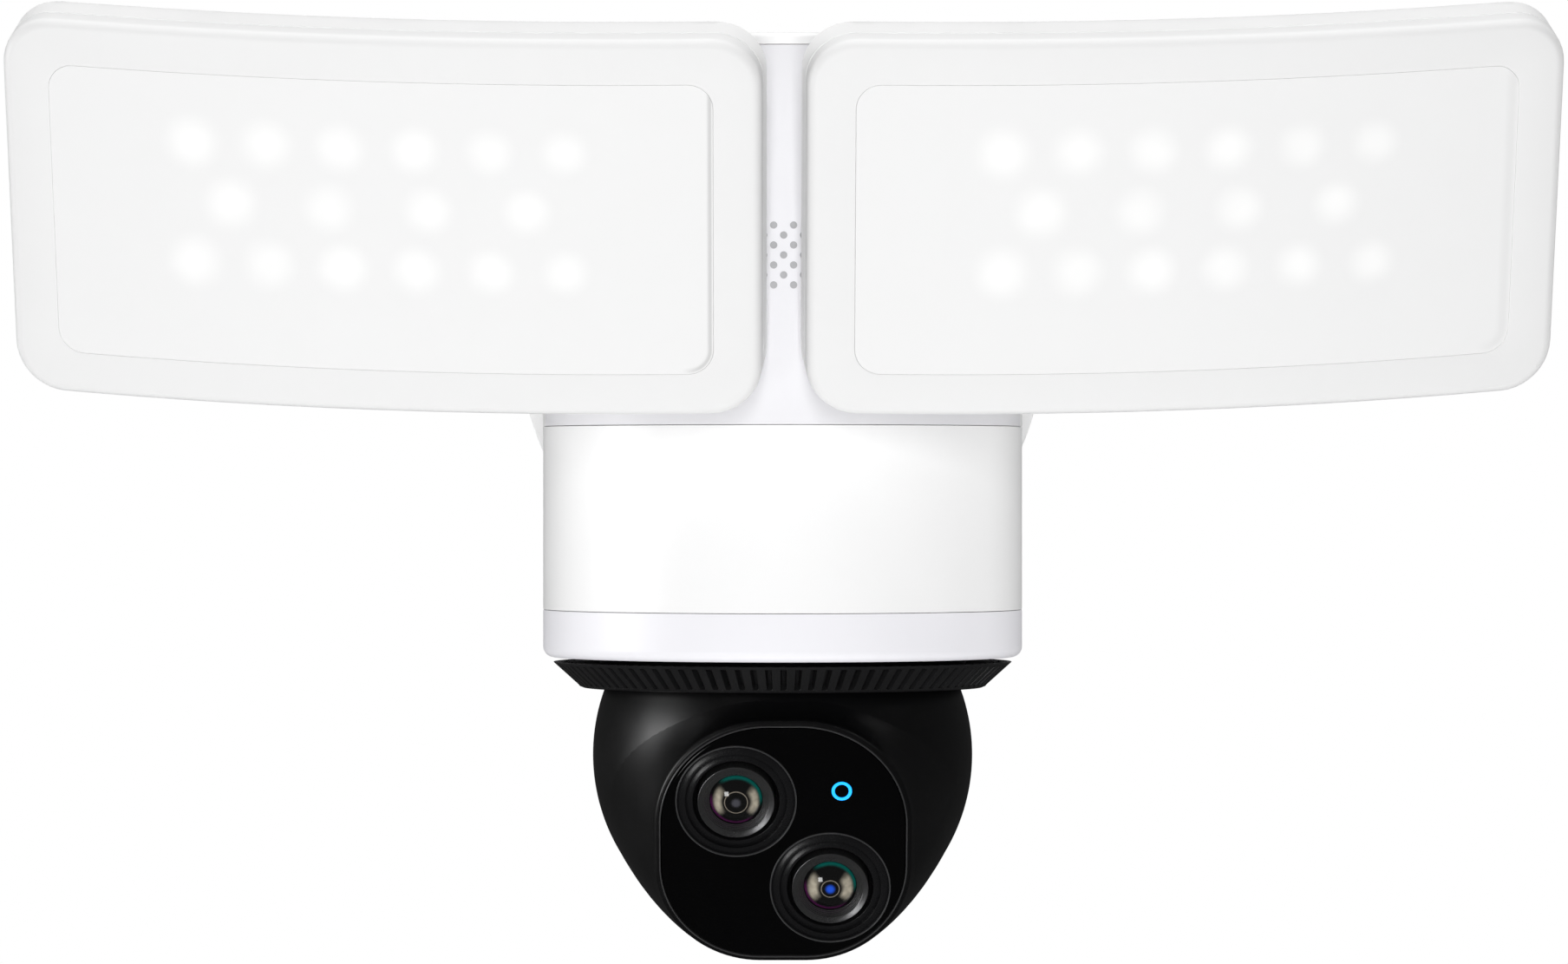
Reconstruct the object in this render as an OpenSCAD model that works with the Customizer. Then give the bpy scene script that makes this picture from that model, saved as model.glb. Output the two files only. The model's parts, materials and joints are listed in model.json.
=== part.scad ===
// Floodlight security camera for a wall junction box, in millimetres.
// +X is to the viewer's right, +Y points into the wall and +Z is up.
// The origin is the centre of the mounting bracket's back face, on the wall.

/* [Wall plate] */
// Radius of the round wall plate
plate_r = 67.7; // [66:0.1:72]
// Depth of the wall plate, gasket included
plate_depth = 16; // [15:0.5:16]
// Distance between the two box screws
box_screw_pitch = 88.9; // [84:0.1:92]

/* [Body column] */
// Distance from the wall to the column's vertical axis
axis_out = 78; // [78:0.5:80]
// Outer radius of the column
body_r = 59.7; // [59:0.1:60]
// Wall thickness of the column's shells
wall_t = 2.8; // [2.4:0.1:3.2]
// Height of the top of the cap
cap_top_z = 72.5; // [71.5:0.1:74]
// Height of the seam under the top cap
cap_seam_z = 69.6; // [69:0.1:70]
// Height of the seam under the front cover
cover_seam_z = -21.9; // [-23:0.1:-21]
// Height of the seam above the trim ring
trim_seam_z = -67.4; // [-68:0.1:-67]
// Height of the trim ring's lower edge
trim_low_z = -79.2; // [-79.4:0.1:-79]

/* [Speaker grille] */
// Height of the grille's centre
grille_z = 18.9; // [12:0.1:24]
// Radius of each sound hole
grille_hole_r = 0.885; // [0.7:0.005:1]
// Distance between holes in one row
grille_pitch = 4.8; // [4.4:0.1:5.2]

/* [Camera head] */
// Height of the ball's centre, where the tilt axis lies
ball_z = -103.5; // [-103.6:0.1:-103.4]
// Outer radius of the ball
ball_r = 47.3; // [47:0.1:47.4]
// Angle of the camera face below the horizon as stored
face_tilt = 21.8; // [20:0.1:23]
// Distance of the face from the ball's centre
face_out = 43; // [42.6:0.1:43]
// Width of the glossy face
face_w = 59.8; // [59:0.1:60]
// Height of the glossy face
face_h = 61.2; // [60:0.1:61.4]
// Corner radius of the glossy face
face_corner_r = 25.4; // [25:0.1:26]
// Distance of the face's centre below the line through the ball's centre
face_drop = 4.5; // [4:0.1:5]
// Outer radius of each lens bezel
bezel_r = 14.8; // [14.4:0.1:15]

/* [Light panels] */
// Width of a light panel
panel_w = 179.4; // [178:0.1:181]
// Height of a light panel
panel_h = 94.1; // [93:0.1:96]
// Distance of a panel's centre from the middle of the object
panel_x = 95.4; // [95:0.1:97]
// Distance of a panel's face from the wall
panel_out = 173; // [173:0.5:175]
// Height of a panel's centre
panel_z = 24.1; // [23:0.1:27]
// Angle of a panel's face below the horizon as stored
panel_tilt = 22.7; // [21:0.1:23]
// Angle that a panel's outer end is swung back as stored
panel_swing = 5.4; // [5:0.1:7]
// Radius of the panel's gently curved face
face_curve_r = 581; // [560:1:600]
// Width of the luminous window
window_w = 157; // [150:1:159]
// Height of the luminous window
window_h = 72.4; // [71:0.2:74]

/* [Gears] */
// Teeth on the pan gear
pan_teeth = 60; // [60:60]
// Teeth on the tilt gear
tilt_teeth = 45; // [45:45]
// Teeth on each pinion
pinion_teeth = 15; // [15:15]

/* [Hidden] */

$fn = 96;
fine_fn = 720;
big = 400;
run_gap = 0.05;
part_gap = 0.3;

// Wall plate and bracket
sheet_t = 2;
plate_wall = 2.5;
bracket_r = 60;
stud_x = 46;
stud_z = -30;
stud_r = 2;
nut_r = 4.2;
slot_half_w = 2.6;
slot_length = 16;
wire_hole_r = 12;
wire_z = 26;
grommet_r = 14;
grommet_z = 22;

// Column
inner_r = body_r - wall_t;
split_y = -88;
split_gap = 0.3;
boss_z = 30;
boss_r = 15;
boss_end_x = 66;
spigot_r = 6;
spigot_len = 11;
neck_w = 64;
neck_h = 74;
neck_z = 20;
shelf_z = -47;
side_angle = 25;
button_z = -36.5;
button_r = 3.5;
plug_z = -54;
plug_w = 17;
plug_h = 6;

// Turret
cup_in_r = ball_r + 1.3;
cup_out_r = cup_in_r + 2.5;
vent_top_z = -80.4;
vent_low_z = -86.8;
vent_top_r = 57.2;
vent_low_r = 50.1;
vent_bore_r = 45.4;
cup_low_z = -82.4;
hub_r = 12;
hub_top_z = -33;
hub_bore_r = 6;
chassis_z = -45;
chassis_t = 3;
gear_z = -51.5;
gear_t = 4.2;
pan_module = 1;
pan_centres = pan_module * (pan_teeth + pinion_teeth) / 2;
pan_motor_angle = 135;
bearing_r = 19;

// Head
ball_t = 2.2;
head_split = 8;
arm_in_x = 33.5;
arm_out_x = 36.5;
slot_gap = 0.6;
slot_front = -26;
slot_rear = 86;
axle_r = 3;
tilt_module = 0.6;
tilt_centres = tilt_module * (tilt_teeth + pinion_teeth) / 2;
lens_x = 11.5;
wide_up = 11.1;
tele_up = -12;
status_x = 14.2;
status_up = 13.8;
barrel_r = 9.6;
plate_t = 3;

// Light panels
corner_r = 12;
window_corner_r = 6;
frame_depth = 6;
rim_depth = 14.5;
shoulder_depth = 17.5;
back_depth = 19.5;
fin_depth = 24;
board_y = 15.6;
board_t = 1.6;
led_rows_z = 4.4;
pivot_x = -17;
pivot_y = 34;
pivot_z = -12;
barrel_half = 12;
ear_t = 6;
pin_r = 3;
// How far behind the face's centre the pin lies, once the panel is swung
pivot_line_y = turned([pivot_x, pivot_y], panel_swing)[1];

// Gears
pressure_angle = 25;
backlash = 0.16;
flank_steps = 3;

// ---------- helpers ----------

// A rectangle with round corners, centred
module rounded(w, h, r) {
  square([w - 2 * r, h], center = true);
  square([w, h - 2 * r], center = true);
  for (sx = [-1, 1], sy = [-1, 1])
    translate([sx * (w / 2 - r), sy * (h / 2 - r)]) circle(r = r);
}

// A slot with round ends, along x
module slot2d(length, half_w) {
  square([length - 2 * half_w, 2 * half_w], center = true);
  for (s = [-1, 1]) translate([s * (length / 2 - half_w), 0]) circle(r = half_w);
}

// Extrudes an outline drawn in X and Z away from the wall
module outward(from, depth) {
  translate([0, -from, 0]) rotate([90, 0, 0]) linear_extrude(depth) children();
}

// A cylinder along X
module rod_x(r, x0, x1) {
  translate([x0, 0, 0]) rotate([0, 90, 0]) cylinder(r = r, h = x1 - x0);
}

// A block given by its low and high corners
module block(low, high) {
  translate(low) cube(high - low);
}

module on_axis() {
  translate([0, -axis_out, 0]) children();
}

// A vertical tube on the column's axis
module tube(r_out, r_in, z0, z1) {
  on_axis() difference() {
    translate([0, 0, z0]) cylinder(r = r_out, h = z1 - z0);
    translate([0, 0, z0 - 1]) cylinder(r = r_in, h = z1 - z0 + 2);
  }
}

module both_sides() {
  children();
  mirror([1, 0, 0]) children();
}

function polar(r, a) = [r * cos(a), r * sin(a)];
function turned(p, a) = [p[0] * cos(a) - p[1] * sin(a), p[0] * sin(a) + p[1] * cos(a)];
// Angle that an involute from base radius rb has turned through at radius r
function roll(rb, r) =
  let (t = sqrt(max(0, pow(r / rb, 2) - 1))) t * 180 / PI - atan(t);
// Half of a tooth's angular width at radius r
function tooth_half(m, n, r) =
  let (rp = m * n / 2, rb = rp * cos(pressure_angle))
  90 / n - backlash * 90 / (PI * rp) + roll(rb, rp) - roll(rb, r);

// An involute spur gear's outline, with one tooth centred on +x
module gear2d(m, n) {
  rp = m * n / 2;
  rb = rp * cos(pressure_angle);
  tip_r = rp + 0.85 * m;
  root_r = rp - 1.15 * m;
  start_r = max(rb, root_r);
  radii = [for (i = [0:flank_steps]) start_r + (tip_r - start_r) * i / flank_steps];
  foot = root_r < rb ? [root_r] : [];
  polygon([for (k = [0:n - 1]) each concat(
    [for (r = foot) polar(r, 360 * k / n - tooth_half(m, n, start_r))],
    [for (r = radii) polar(r, 360 * k / n - tooth_half(m, n, r))],
    [for (i = [flank_steps:-1:0]) polar(radii[i], 360 * k / n + tooth_half(m, n, radii[i]))],
    [for (r = foot) polar(r, 360 * k / n + tooth_half(m, n, start_r))]
  )]);
}

// ---------- wall plate ----------

module wall_gasket() {
  color("dimgray") outward(0, sheet_t) difference() {
    circle(r = plate_r);
    circle(r = bracket_r + 1);
  }
}

module mounting_bracket() {
  color("silver") union() {
    outward(0, sheet_t) difference() {
      circle(r = bracket_r);
      for (s = [-1, 1]) translate([s * box_screw_pitch / 2, 0]) slot2d(slot_length, slot_half_w);
      translate([0, wire_z]) circle(r = wire_hole_r);
    }
    for (s = [-1, 1]) translate([s * stud_x, 0, stud_z])
      outward(sheet_t - 1, plate_depth + 5) circle(r = stud_r);
  }
}

module wall_plate() {
  color("whitesmoke") difference() {
    outward(sheet_t, plate_depth - sheet_t) circle(r = plate_r);
    outward(0, plate_depth - plate_wall) circle(r = plate_r - plate_wall);
    translate([0, 0, grommet_z]) outward(0, plate_depth + 1) circle(r = grommet_r + run_gap);
    for (s = [-1, 1]) translate([s * stud_x, 0, stud_z])
      outward(0, plate_depth + 1) circle(r = stud_r + 0.3);
  }
}

module plate_nuts() {
  color("silver") for (s = [-1, 1]) translate([s * stud_x, 0, stud_z]) difference() {
    union() {
      outward(plate_depth, 5) circle(r = nut_r, $fn = 6);
      outward(plate_depth + 5 - 1, 4) circle(r = nut_r * 0.8);
    }
    outward(plate_depth - 1, 7) circle(r = stud_r + run_gap);
  }
}

module cable_grommet() {
  front = plate_depth - plate_wall - 1;
  color("black") translate([0, 0, grommet_z]) difference() {
    union() {
      outward(front, plate_wall + 1) circle(r = grommet_r);
      outward(front - 1, 1.9) circle(r = grommet_r + 2.5);
    }
    outward(front - 2, plate_wall + 4) circle(r = 8);
  }
}

module terminal_block() {
  color("ivory") difference() {
    block([-18, -10, -36], [18, -sheet_t, -22]);
    for (s = [-1, 0, 1]) translate([s * 11, 0, -29]) outward(5, 6) circle(r = 2.4);
  }
}

// ---------- column ----------

module neck_outline(inset) {
  translate([0, neck_z]) rounded(neck_w - 2 * inset, neck_h - 2 * inset, 14 - inset);
}

module rear_shell() {
  color("white") difference() {
    union() {
      intersection() {
        tube(body_r, inner_r, cover_seam_z, cap_seam_z);
        block([-big, split_y + split_gap / 2, -big], [big, 0, big]);
      }
      difference() {
        outward(plate_depth, 32) neck_outline(0);
        outward(plate_depth + 3, 32) neck_outline(3);
        on_axis() cylinder(r = body_r - 1, h = big, center = true);
      }
      both_sides() translate([0, split_y, boss_z]) {
        rod_x(boss_r, inner_r - 4, boss_end_x);
        rod_x(spigot_r, boss_end_x - 1, boss_end_x + spigot_len);
      }
    }
    translate([0, 0, grommet_z]) outward(plate_depth - 1, 12) circle(r = grommet_r);
  }
}

// Centres of the sound holes: staggered rows that fill a small disc
module grille_holes() {
  for (row = [-3:3], col = [-3:3]) {
    x = col * grille_pitch + (abs(row) % 2 == 1 ? grille_pitch / 2 : 0);
    z = row * grille_pitch / 2;
    if (norm([x, z]) < 8.4)
      translate([x, 0, grille_z + z]) outward(axis_out + inner_r - 4, 10)
        circle(r = grille_hole_r, $fn = 24);
  }
}

module front_cover() {
  color("aliceblue") difference() {
    intersection() {
      tube(body_r, inner_r, cover_seam_z, cap_seam_z);
      block([-big, -big, -big], [big, split_y - split_gap / 2, big]);
    }
    both_sides() translate([0, split_y, boss_z]) rod_x(boss_r + part_gap, inner_r - 10, body_r + 10);
    grille_holes();
  }
}

module top_cap() {
  edge_r = 2.4;
  color("white") on_axis() rotate_extrude() {
    intersection() {
      union() {
        translate([0, cap_seam_z]) square([body_r - edge_r, cap_top_z - cap_seam_z]);
        translate([0, cap_seam_z]) square([body_r, cap_top_z - cap_seam_z - edge_r]);
        translate([body_r - edge_r, cap_top_z - edge_r]) circle(r = edge_r);
      }
      translate([0, cap_seam_z]) square([body_r, cap_top_z - cap_seam_z]);
    }
    translate([inner_r - 2.3, cap_seam_z - 5]) square([2, 5.5]);
  }
}

module lower_shell() {
  color("white") difference() {
    union() {
      tube(body_r, inner_r, trim_seam_z, cover_seam_z);
      tube(inner_r + 0.5, inner_r - 2.5, shelf_z, shelf_z + 2);
    }
    side_port() {
      cylinder(r = button_r + part_gap, h = 20, center = true);
      translate([0, plug_z - button_z, 0])
        linear_extrude(20, center = true) rounded(plug_w + 0.6, plug_h + 0.6, 2);
    }
  }
}

// Faces a piece outwards on the lower shell's side, where the button and the card plug are
module side_port() {
  on_axis() rotate([0, 0, side_angle]) translate([body_r, 0, button_z])
    rotate([90, 0, 90]) children();
}

module sync_button() {
  color("gray") side_port() {
    translate([0, 0, -6]) cylinder(r = button_r, h = 5.6);
    translate([0, 0, -8]) cylinder(r = button_r + 1.5, h = 2.5);
  }
}

module card_plug() {
  color("gray") side_port() translate([0, plug_z - button_z, -4.8])
    linear_extrude(4.2) rounded(plug_w, plug_h, 1.7);
}

module memory_card() {
  color("darkslategray") side_port() translate([0, plug_z - button_z, -14])
    linear_extrude(8) square([11, 1], center = true);
}

module trim_ring() {
  color("aliceblue") on_axis() rotate_extrude() {
    translate([inner_r, trim_low_z + 2.5]) square([wall_t, trim_seam_z - trim_low_z - 2.5]);
    translate([47, trim_low_z]) square([body_r - 2.5 - 47, 2.5]);
    translate([body_r - 2.5, trim_low_z + 2.5]) circle(r = 2.5);
  }
}

module cover_seal() {
  color("dimgray") tube(inner_r - 0.1, inner_r - 1.6, cover_seam_z + 2, cover_seam_z + 5);
}

module speaker_place() {
  translate([0, -axis_out - inner_r + 5, grille_z]) rotate([-90, 0, 0]) children();
}

module speaker_frame() {
  color("darkgray") speaker_place() difference() {
    union() {
      cylinder(r = 18, h = 9);
      translate([0, 0, 8]) cylinder(r = 11, h = 9);
    }
    translate([0, 0, -1]) cylinder(r = 15.5, h = 8.5);
  }
}

module speaker_cone() {
  color("black") speaker_place() rotate_extrude()
    polygon([[0, 4.4], [4, 4.4], [15, 1], [15, 1.8], [4.4, 5.4], [4.4, 7], [3.4, 7], [3.4, 5.4], [0, 5.4]]);
}

module power_board() {
  color("darkgreen") union() {
    block([-34, -52, -15], [34, -50.4, 58]);
    block([-16, -73, 20], [16, -51, 50]);
    for (x = [-24, 24]) translate([x, 0, 0]) {
      translate([0, 0, 4]) outward(51, 16) circle(r = 6.5);
      block([-4, -62, -12], [4, -51, -5]);
    }
  }
}

module main_board() {
  color("darkgreen") union() {
    block([-36, -104, -14], [36, -102.4, 58]);
    block([-9, -106.6, 34], [9, -103, 52]);
    block([-28, -105.6, 36], [-14, -103, 50]);
    block([14, -106, -8], [30, -103, 0]);
  }
}

module heat_spreader() {
  color("silver") union() {
    block([-28, -102.4, -6], [28, -100, 54]);
    for (i = [0:6]) block([-27 + i * 8.7, -100.5, -4], [-25.4 + i * 8.7, -92, 52]);
  }
}

module wifi_antennas() {
  color("gold") both_sides() block([38, -112, 42], [39.2, -98, 62]);
}

// ---------- pan drive ----------

module chassis_plate() {
  color("silver") on_axis() difference() {
    translate([0, 0, chassis_z]) cylinder(r = inner_r - 0.3, h = chassis_t);
    translate([0, 0, chassis_z - 1]) cylinder(r = bearing_r, h = chassis_t + 2);
    rotate([0, 0, pan_motor_angle]) translate([pan_centres, 0, chassis_z - 1])
      cylinder(r = 4, h = chassis_t + 2);
  }
}

module pan_motor() {
  color("gray") on_axis() rotate([0, 0, pan_motor_angle]) translate([pan_centres, 0, chassis_z + chassis_t])
    difference() {
      union() {
        cylinder(r = 12, h = 13);
        translate([0, 0, 12]) cylinder(r = 4, h = 4);
      }
      translate([0, 0, -1]) cylinder(r = 1.5 + run_gap, h = 8);
    }
}

module pan_bearing() {
  color("goldenrod") tube(bearing_r, hub_r + run_gap, chassis_z, chassis_z + 6);
}

module pan_pinion() {
  color("ivory") on_axis() rotate([0, 0, pan_motor_angle]) translate([pan_centres, 0, gear_z]) union() {
    linear_extrude(gear_t - 0.2) gear2d(pan_module, pinion_teeth);
    cylinder(r = 1.5, h = chassis_z + chassis_t - gear_z + 5);
  }
}

module shell_screws() {
  color("silver") on_axis() for (a = [0:60:300])
    rotate([0, 0, a]) translate([51.8, 0, chassis_z + chassis_t]) cylinder(r = 2.6, h = 1.8);
}

// ---------- turret ----------

module vent_ring() {
  groove_count = 90;
  color("black") on_axis() difference() {
    rotate_extrude() polygon([
      [vent_bore_r, vent_low_z], [vent_low_r, vent_low_z], [vent_top_r, vent_top_z],
      [vent_bore_r + 1.8, vent_top_z], [vent_bore_r + 1.8, cup_low_z], [vent_bore_r, cup_low_z]
    ]);
    for (k = [0:groove_count - 1]) rotate([0, 0, 360 * k / groove_count])
      translate([(vent_top_r + vent_low_r) / 2, 0, (vent_top_z + vent_low_z) / 2])
        rotate([0, atan2(vent_top_r - vent_low_r, vent_top_z - vent_low_z), 0])
          cube([1.4, 1.2, 6.6], center = true);
  }
}

module turret_cup() {
  color("black") translate([0, -axis_out, ball_z]) difference() {
    union() {
      intersection() {
        sphere(r = cup_out_r);
        block([-big, -big, cup_low_z - ball_z], [big, big, big]);
      }
      cylinder(r = hub_r, h = hub_top_z - ball_z);
    }
    sphere(r = cup_in_r);
    cylinder(r = hub_bore_r, h = big);
  }
}

module pan_gear() {
  color("ivory") on_axis() rotate([0, 0, pan_motor_angle]) translate([0, 0, gear_z]) linear_extrude(gear_t)
    difference() {
      gear2d(pan_module, pan_teeth);
      circle(r = hub_r);
    }
}

module hub_retainer() {
  color("silver") tube(hub_r + 5, hub_r, chassis_z + 6.3, chassis_z + 9);
}

// Everything in the head is drawn about the ball's centre
module in_ball() {
  translate([0, -axis_out, ball_z]) children();
}

module yoke_arms() {
  color("silver") in_ball() both_sides() difference() {
    intersection() {
      union() {
        block([arm_in_x, -7, 0], [arm_out_x, 7, 60]);
        rod_x(7, arm_in_x, arm_out_x);
      }
      sphere(r = cup_in_r - run_gap);
    }
    rod_x(axle_r + run_gap, arm_in_x - 1, arm_out_x + 1);
  }
}

module tilt_motor() {
  color("gray") in_ball() translate([0, 0, tilt_centres]) difference() {
    union() {
      rod_x(8, 9, 26.5);
      for (s = [-1, 1]) translate([0, s * 5, 9.5]) {
        rod_x(1.5, 22, arm_in_x);
        block([22, -2, -5], [24, 2, 0]);
      }
    }
    rod_x(1 + run_gap, 18, 30);
  }
}

module tilt_pinion() {
  color("ivory") in_ball() translate([0, 0, tilt_centres]) union() {
    translate([30.8, 0, 0]) rotate([0, -90, 0]) linear_extrude(2.6) gear2d(tilt_module, pinion_teeth);
    rod_x(1, 20, 30.8);
  }
}

module tilt_gear() {
  color("ivory") in_ball() translate([31, 0, 0]) rotate([0, -90, 0]) linear_extrude(3) difference() {
    gear2d(tilt_module, tilt_teeth);
    circle(r = axle_r);
  }
}

module tilt_axles() {
  color("silver") in_ball() both_sides() rod_x(axle_r, 27, 43);
}

// ---------- head ----------

// The face's own frame: x to the right, z up along the face, -y out of the face
module face_frame() {
  in_ball() rotate([face_tilt, 0, 0]) children();
}

// Extrudes an outline on the face from one distance to another from the ball's centre
module on_face(d0, d1) {
  translate([0, -d0, -face_drop]) rotate([90, 0, 0]) linear_extrude(d1 - d0) children();
}

// The face's outline, grown by an amount
module face_outline(grow) {
  rounded(face_w + 2 * grow, face_h + 2 * grow, face_corner_r + grow);
}

// Slots that let the ball swing past the yoke's arms
module yoke_slots() {
  points = [for (a = [slot_front, 10, 48, slot_rear]) 80 * [sin(a), cos(a)]];
  both_sides() translate([arm_in_x - slot_gap, 0, 0]) rotate([90, 0, 90])
    linear_extrude(arm_out_x - arm_in_x + 2 * slot_gap) polygon(concat([[0, 0]], points));
}

module ball_shell() {
  difference() {
    union() {
      difference() {
        sphere(r = ball_r);
        sphere(r = ball_r - ball_t);
      }
      intersection() {
        both_sides() rod_x(6.5, arm_out_x + 0.9, ball_r);
        sphere(r = ball_r - ball_t / 2);
      }
    }
    both_sides() rod_x(axle_r, 20, 43);
    difference() {
      yoke_slots();
      rod_x(9, -60, 60);
    }
  }
}

module head_front_shell() {
  color("black") difference() {
    in_ball() ball_shell();
    face_frame() {
      block([-big, head_split - 0.1, -big], [big, big, big]);
      on_face(20, 60) face_outline(-3);
      on_face(face_out - plate_t - run_gap, 60) face_outline(run_gap);
    }
    lens_bores();
  }
}

module head_rear_shell() {
  color("black") difference() {
    in_ball() ball_shell();
    face_frame() block([-big, -big, -big], [big, head_split + 0.1, big]);
  }
}

module face_trim() {
  rim = 1.6;
  color("black") difference() {
    face_frame() difference() {
      on_face(28, face_out - 0.6) face_outline(rim);
      on_face(face_out - plate_t, face_out + 1) face_outline(0);
      on_face(20, face_out + 1) face_outline(-3);
    }
    in_ball() sphere(r = ball_r + run_gap);
    lens_bores();
  }
}

module lens_spot(side, up) {
  face_frame() translate([side * lens_x, 0, up - face_drop]) rotate([90, 0, 0]) children();
}

// The two round openings that the lens bezels sit in
module lens_bores() {
  for (spot = [[-1, wide_up], [1, tele_up]])
    lens_spot(spot[0], spot[1]) translate([0, 0, 20]) cylinder(r = bezel_r + run_gap, h = 40);
}

module face_plate() {
  color("black") face_frame() on_face(face_out - plate_t, face_out) difference() {
    face_outline(0);
    translate([-lens_x, wide_up]) circle(r = bezel_r);
    translate([lens_x, tele_up]) circle(r = bezel_r);
    translate([status_x, status_up]) circle(r = 2.5);
  }
}

// A stepped ring that funnels down to the lens
module bezel() {
  rotate_extrude() polygon([
    [barrel_r, face_out - 6], [bezel_r, face_out - 6], [bezel_r, face_out + 0.9],
    [bezel_r - 0.9, face_out + 1.2], [bezel_r - 2.4, face_out + 0.3], [bezel_r - 3.2, face_out + 0.3],
    [barrel_r, face_out - 2.6]
  ]);
}

// A lens barrel with a shallow seat for the front glass
module barrel() {
  difference() {
    translate([0, 0, 20]) cylinder(r = barrel_r, h = face_out - 22.8);
    translate([0, 0, face_out - 6]) cylinder(r = 7.2, h = 8);
    translate([0, 0, 22]) cylinder(r = 4, h = 30);
  }
}

// The front lens element: a shallow dome with a flat back
module front_glass() {
  dome_r = 12;
  seat = face_out - 6;
  translate([0, 0, seat]) intersection() {
    cylinder(r = 7.2, h = 5);
    translate([0, 0, 3.8 - dome_r]) sphere(r = dome_r);
  }
}

module wide_bezel() {
  color("black") lens_spot(-1, wide_up) bezel();
}

module tele_bezel() {
  color("black") lens_spot(1, tele_up) bezel();
}

module wide_barrel() {
  color("dimgray") lens_spot(-1, wide_up) barrel();
}

module tele_barrel() {
  color("dimgray") lens_spot(1, tele_up) barrel();
}

module wide_glass() {
  color("lightcyan") lens_spot(-1, wide_up) front_glass();
}

module tele_glass() {
  color("lightcyan") lens_spot(1, tele_up) front_glass();
}

module status_ring() {
  color("deepskyblue") face_frame() on_face(face_out - 1.6, face_out) translate([status_x, status_up])
    difference() {
      circle(r = 2.5);
      circle(r = 1.75);
    }
}

module sensor_board() {
  color("darkgreen") union() {
    face_frame() on_face(14, 15.6) square([38, 38], center = true);
    lens_spot(-1, wide_up) translate([-6, -6, 15]) cube([12, 12, 5]);
    lens_spot(1, tele_up) translate([-6, -6, 15]) cube([12, 12, 5]);
  }
}

// ---------- light panels (drawn for the right side) ----------

// The tilt frame: its origin is the panel's face centre
module tilt_frame() {
  translate([panel_x, -panel_out, panel_z]) rotate([panel_tilt, 0, 0]) children();
}

// The panel's own frame, swung about the knuckle's pin
module panel_frame() {
  tilt_frame() rotate([0, 0, panel_swing]) children();
}

module prism(w, h, r, y0, y1) {
  translate([0, y1, 0]) rotate([90, 0, 0]) linear_extrude(y1 - y0) rounded(w, h, r);
}

// The layer between two depths behind the curved face
module curved_layer(d0, d1) {
  translate([0, face_curve_r, 0]) difference() {
    cylinder(r = face_curve_r - d0, h = big / 2, center = true, $fn = fine_fn);
    cylinder(r = face_curve_r - d1, h = big, center = true, $fn = fine_fn);
  }
}

module front_frame() {
  color("white") panel_frame() intersection() {
    difference() {
      prism(panel_w, panel_h, corner_r, -1, 20);
      prism(window_w, window_h, window_corner_r, -2, 21);
    }
    curved_layer(0, frame_depth);
  }
}

module diffuser() {
  color("azure") panel_frame() difference() {
    union() {
      intersection() {
        prism(window_w - 2 * run_gap, window_h - 2 * run_gap, window_corner_r, -1, 20);
        curved_layer(0.5, frame_depth + 1.5);
      }
      intersection() {
        prism(window_w + 6, window_h + 6, window_corner_r + 3, -1, 20);
        curved_layer(frame_depth + run_gap, frame_depth + 1.5);
      }
    }
    intersection() {
      prism(window_w - 5, window_h - 5, window_corner_r - 2.5, -1, 25);
      curved_layer(3, 30);
    }
  }
}

module led_board() {
  color("gainsboro") panel_frame() union() {
    prism(150, 66, 3, board_y, board_y + board_t);
    for (row = [-1, 0, 1]) {
      count = row == 0 ? 4 : 6;
      pitch = row == 0 ? 23.4 : 17.6;
      for (k = [0:count - 1]) translate([(k - (count - 1) / 2) * pitch, board_y, led_rows_z + row * 15])
        block([-1.7, -0.9, -1.7], [1.7, 0.5, 1.7]);
    }
  }
}

// One step of the cast back: an outline drawn in from the edge, down to a depth behind the face
module cast_step(inset, r, depth) {
  intersection() {
    prism(panel_w - 2 * inset, panel_h - 2 * inset, r, -1, 40);
    curved_layer(frame_depth, depth);
  }
}

module housing() {
  color("white") panel_frame() difference() {
    union() {
      cast_step(0, corner_r, rim_depth);
      cast_step(7, corner_r - 5, shoulder_depth);
      cast_step(16, corner_r - 5, back_depth);
      intersection() {
        for (k = [-5:5]) if (abs(k * 12 - pivot_x) > 12)
          block([k * 12 - 1, 10, -28], [k * 12 + 1, 40, 28]);
        curved_layer(back_depth - 1, fin_depth);
      }
      translate([pivot_x, pivot_y, pivot_z - barrel_half]) cylinder(r = 7, h = 2 * barrel_half);
      translate([pivot_x, 0, pivot_z]) block([-5, back_depth - 1, -barrel_half], [5, pivot_y, barrel_half]);
    }
    intersection() {
      prism(panel_w - 5, panel_h - 5, corner_r - 2.5, -5, 40);
      curved_layer(frame_depth - 1, rim_depth - 2);
    }
    prism(154, 70, 4, 5, board_y + board_t);
    translate([pivot_x, pivot_y, pivot_z - 30]) cylinder(r = pin_r + run_gap, h = 60);
  }
}

// Places a piece at the swing pin in the tilt frame
module at_pin() {
  tilt_frame() rotate([0, 0, panel_swing]) translate([pivot_x, pivot_y, pivot_z])
    rotate([0, 0, -panel_swing]) children();
}

// The arm's side view: an eye on the boss and a web that runs to the pin's fork
module arm_outline() {
  pin = [-panel_out, panel_z] + turned([pivot_line_y, pivot_z], panel_tilt);
  eye = [split_y, boss_z];
  along = (pin - eye) / norm(pin - eye);
  across = [-along[1], along[0]] * (boss_r - 0.6);
  fork_half = barrel_half + part_gap + ear_t - 1;
  translate(eye) circle(r = boss_r);
  polygon([
    eye - across, eye + across,
    pin + turned([12, -fork_half], panel_tilt), pin + turned([12, fork_half], panel_tilt)
  ]);
}

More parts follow.
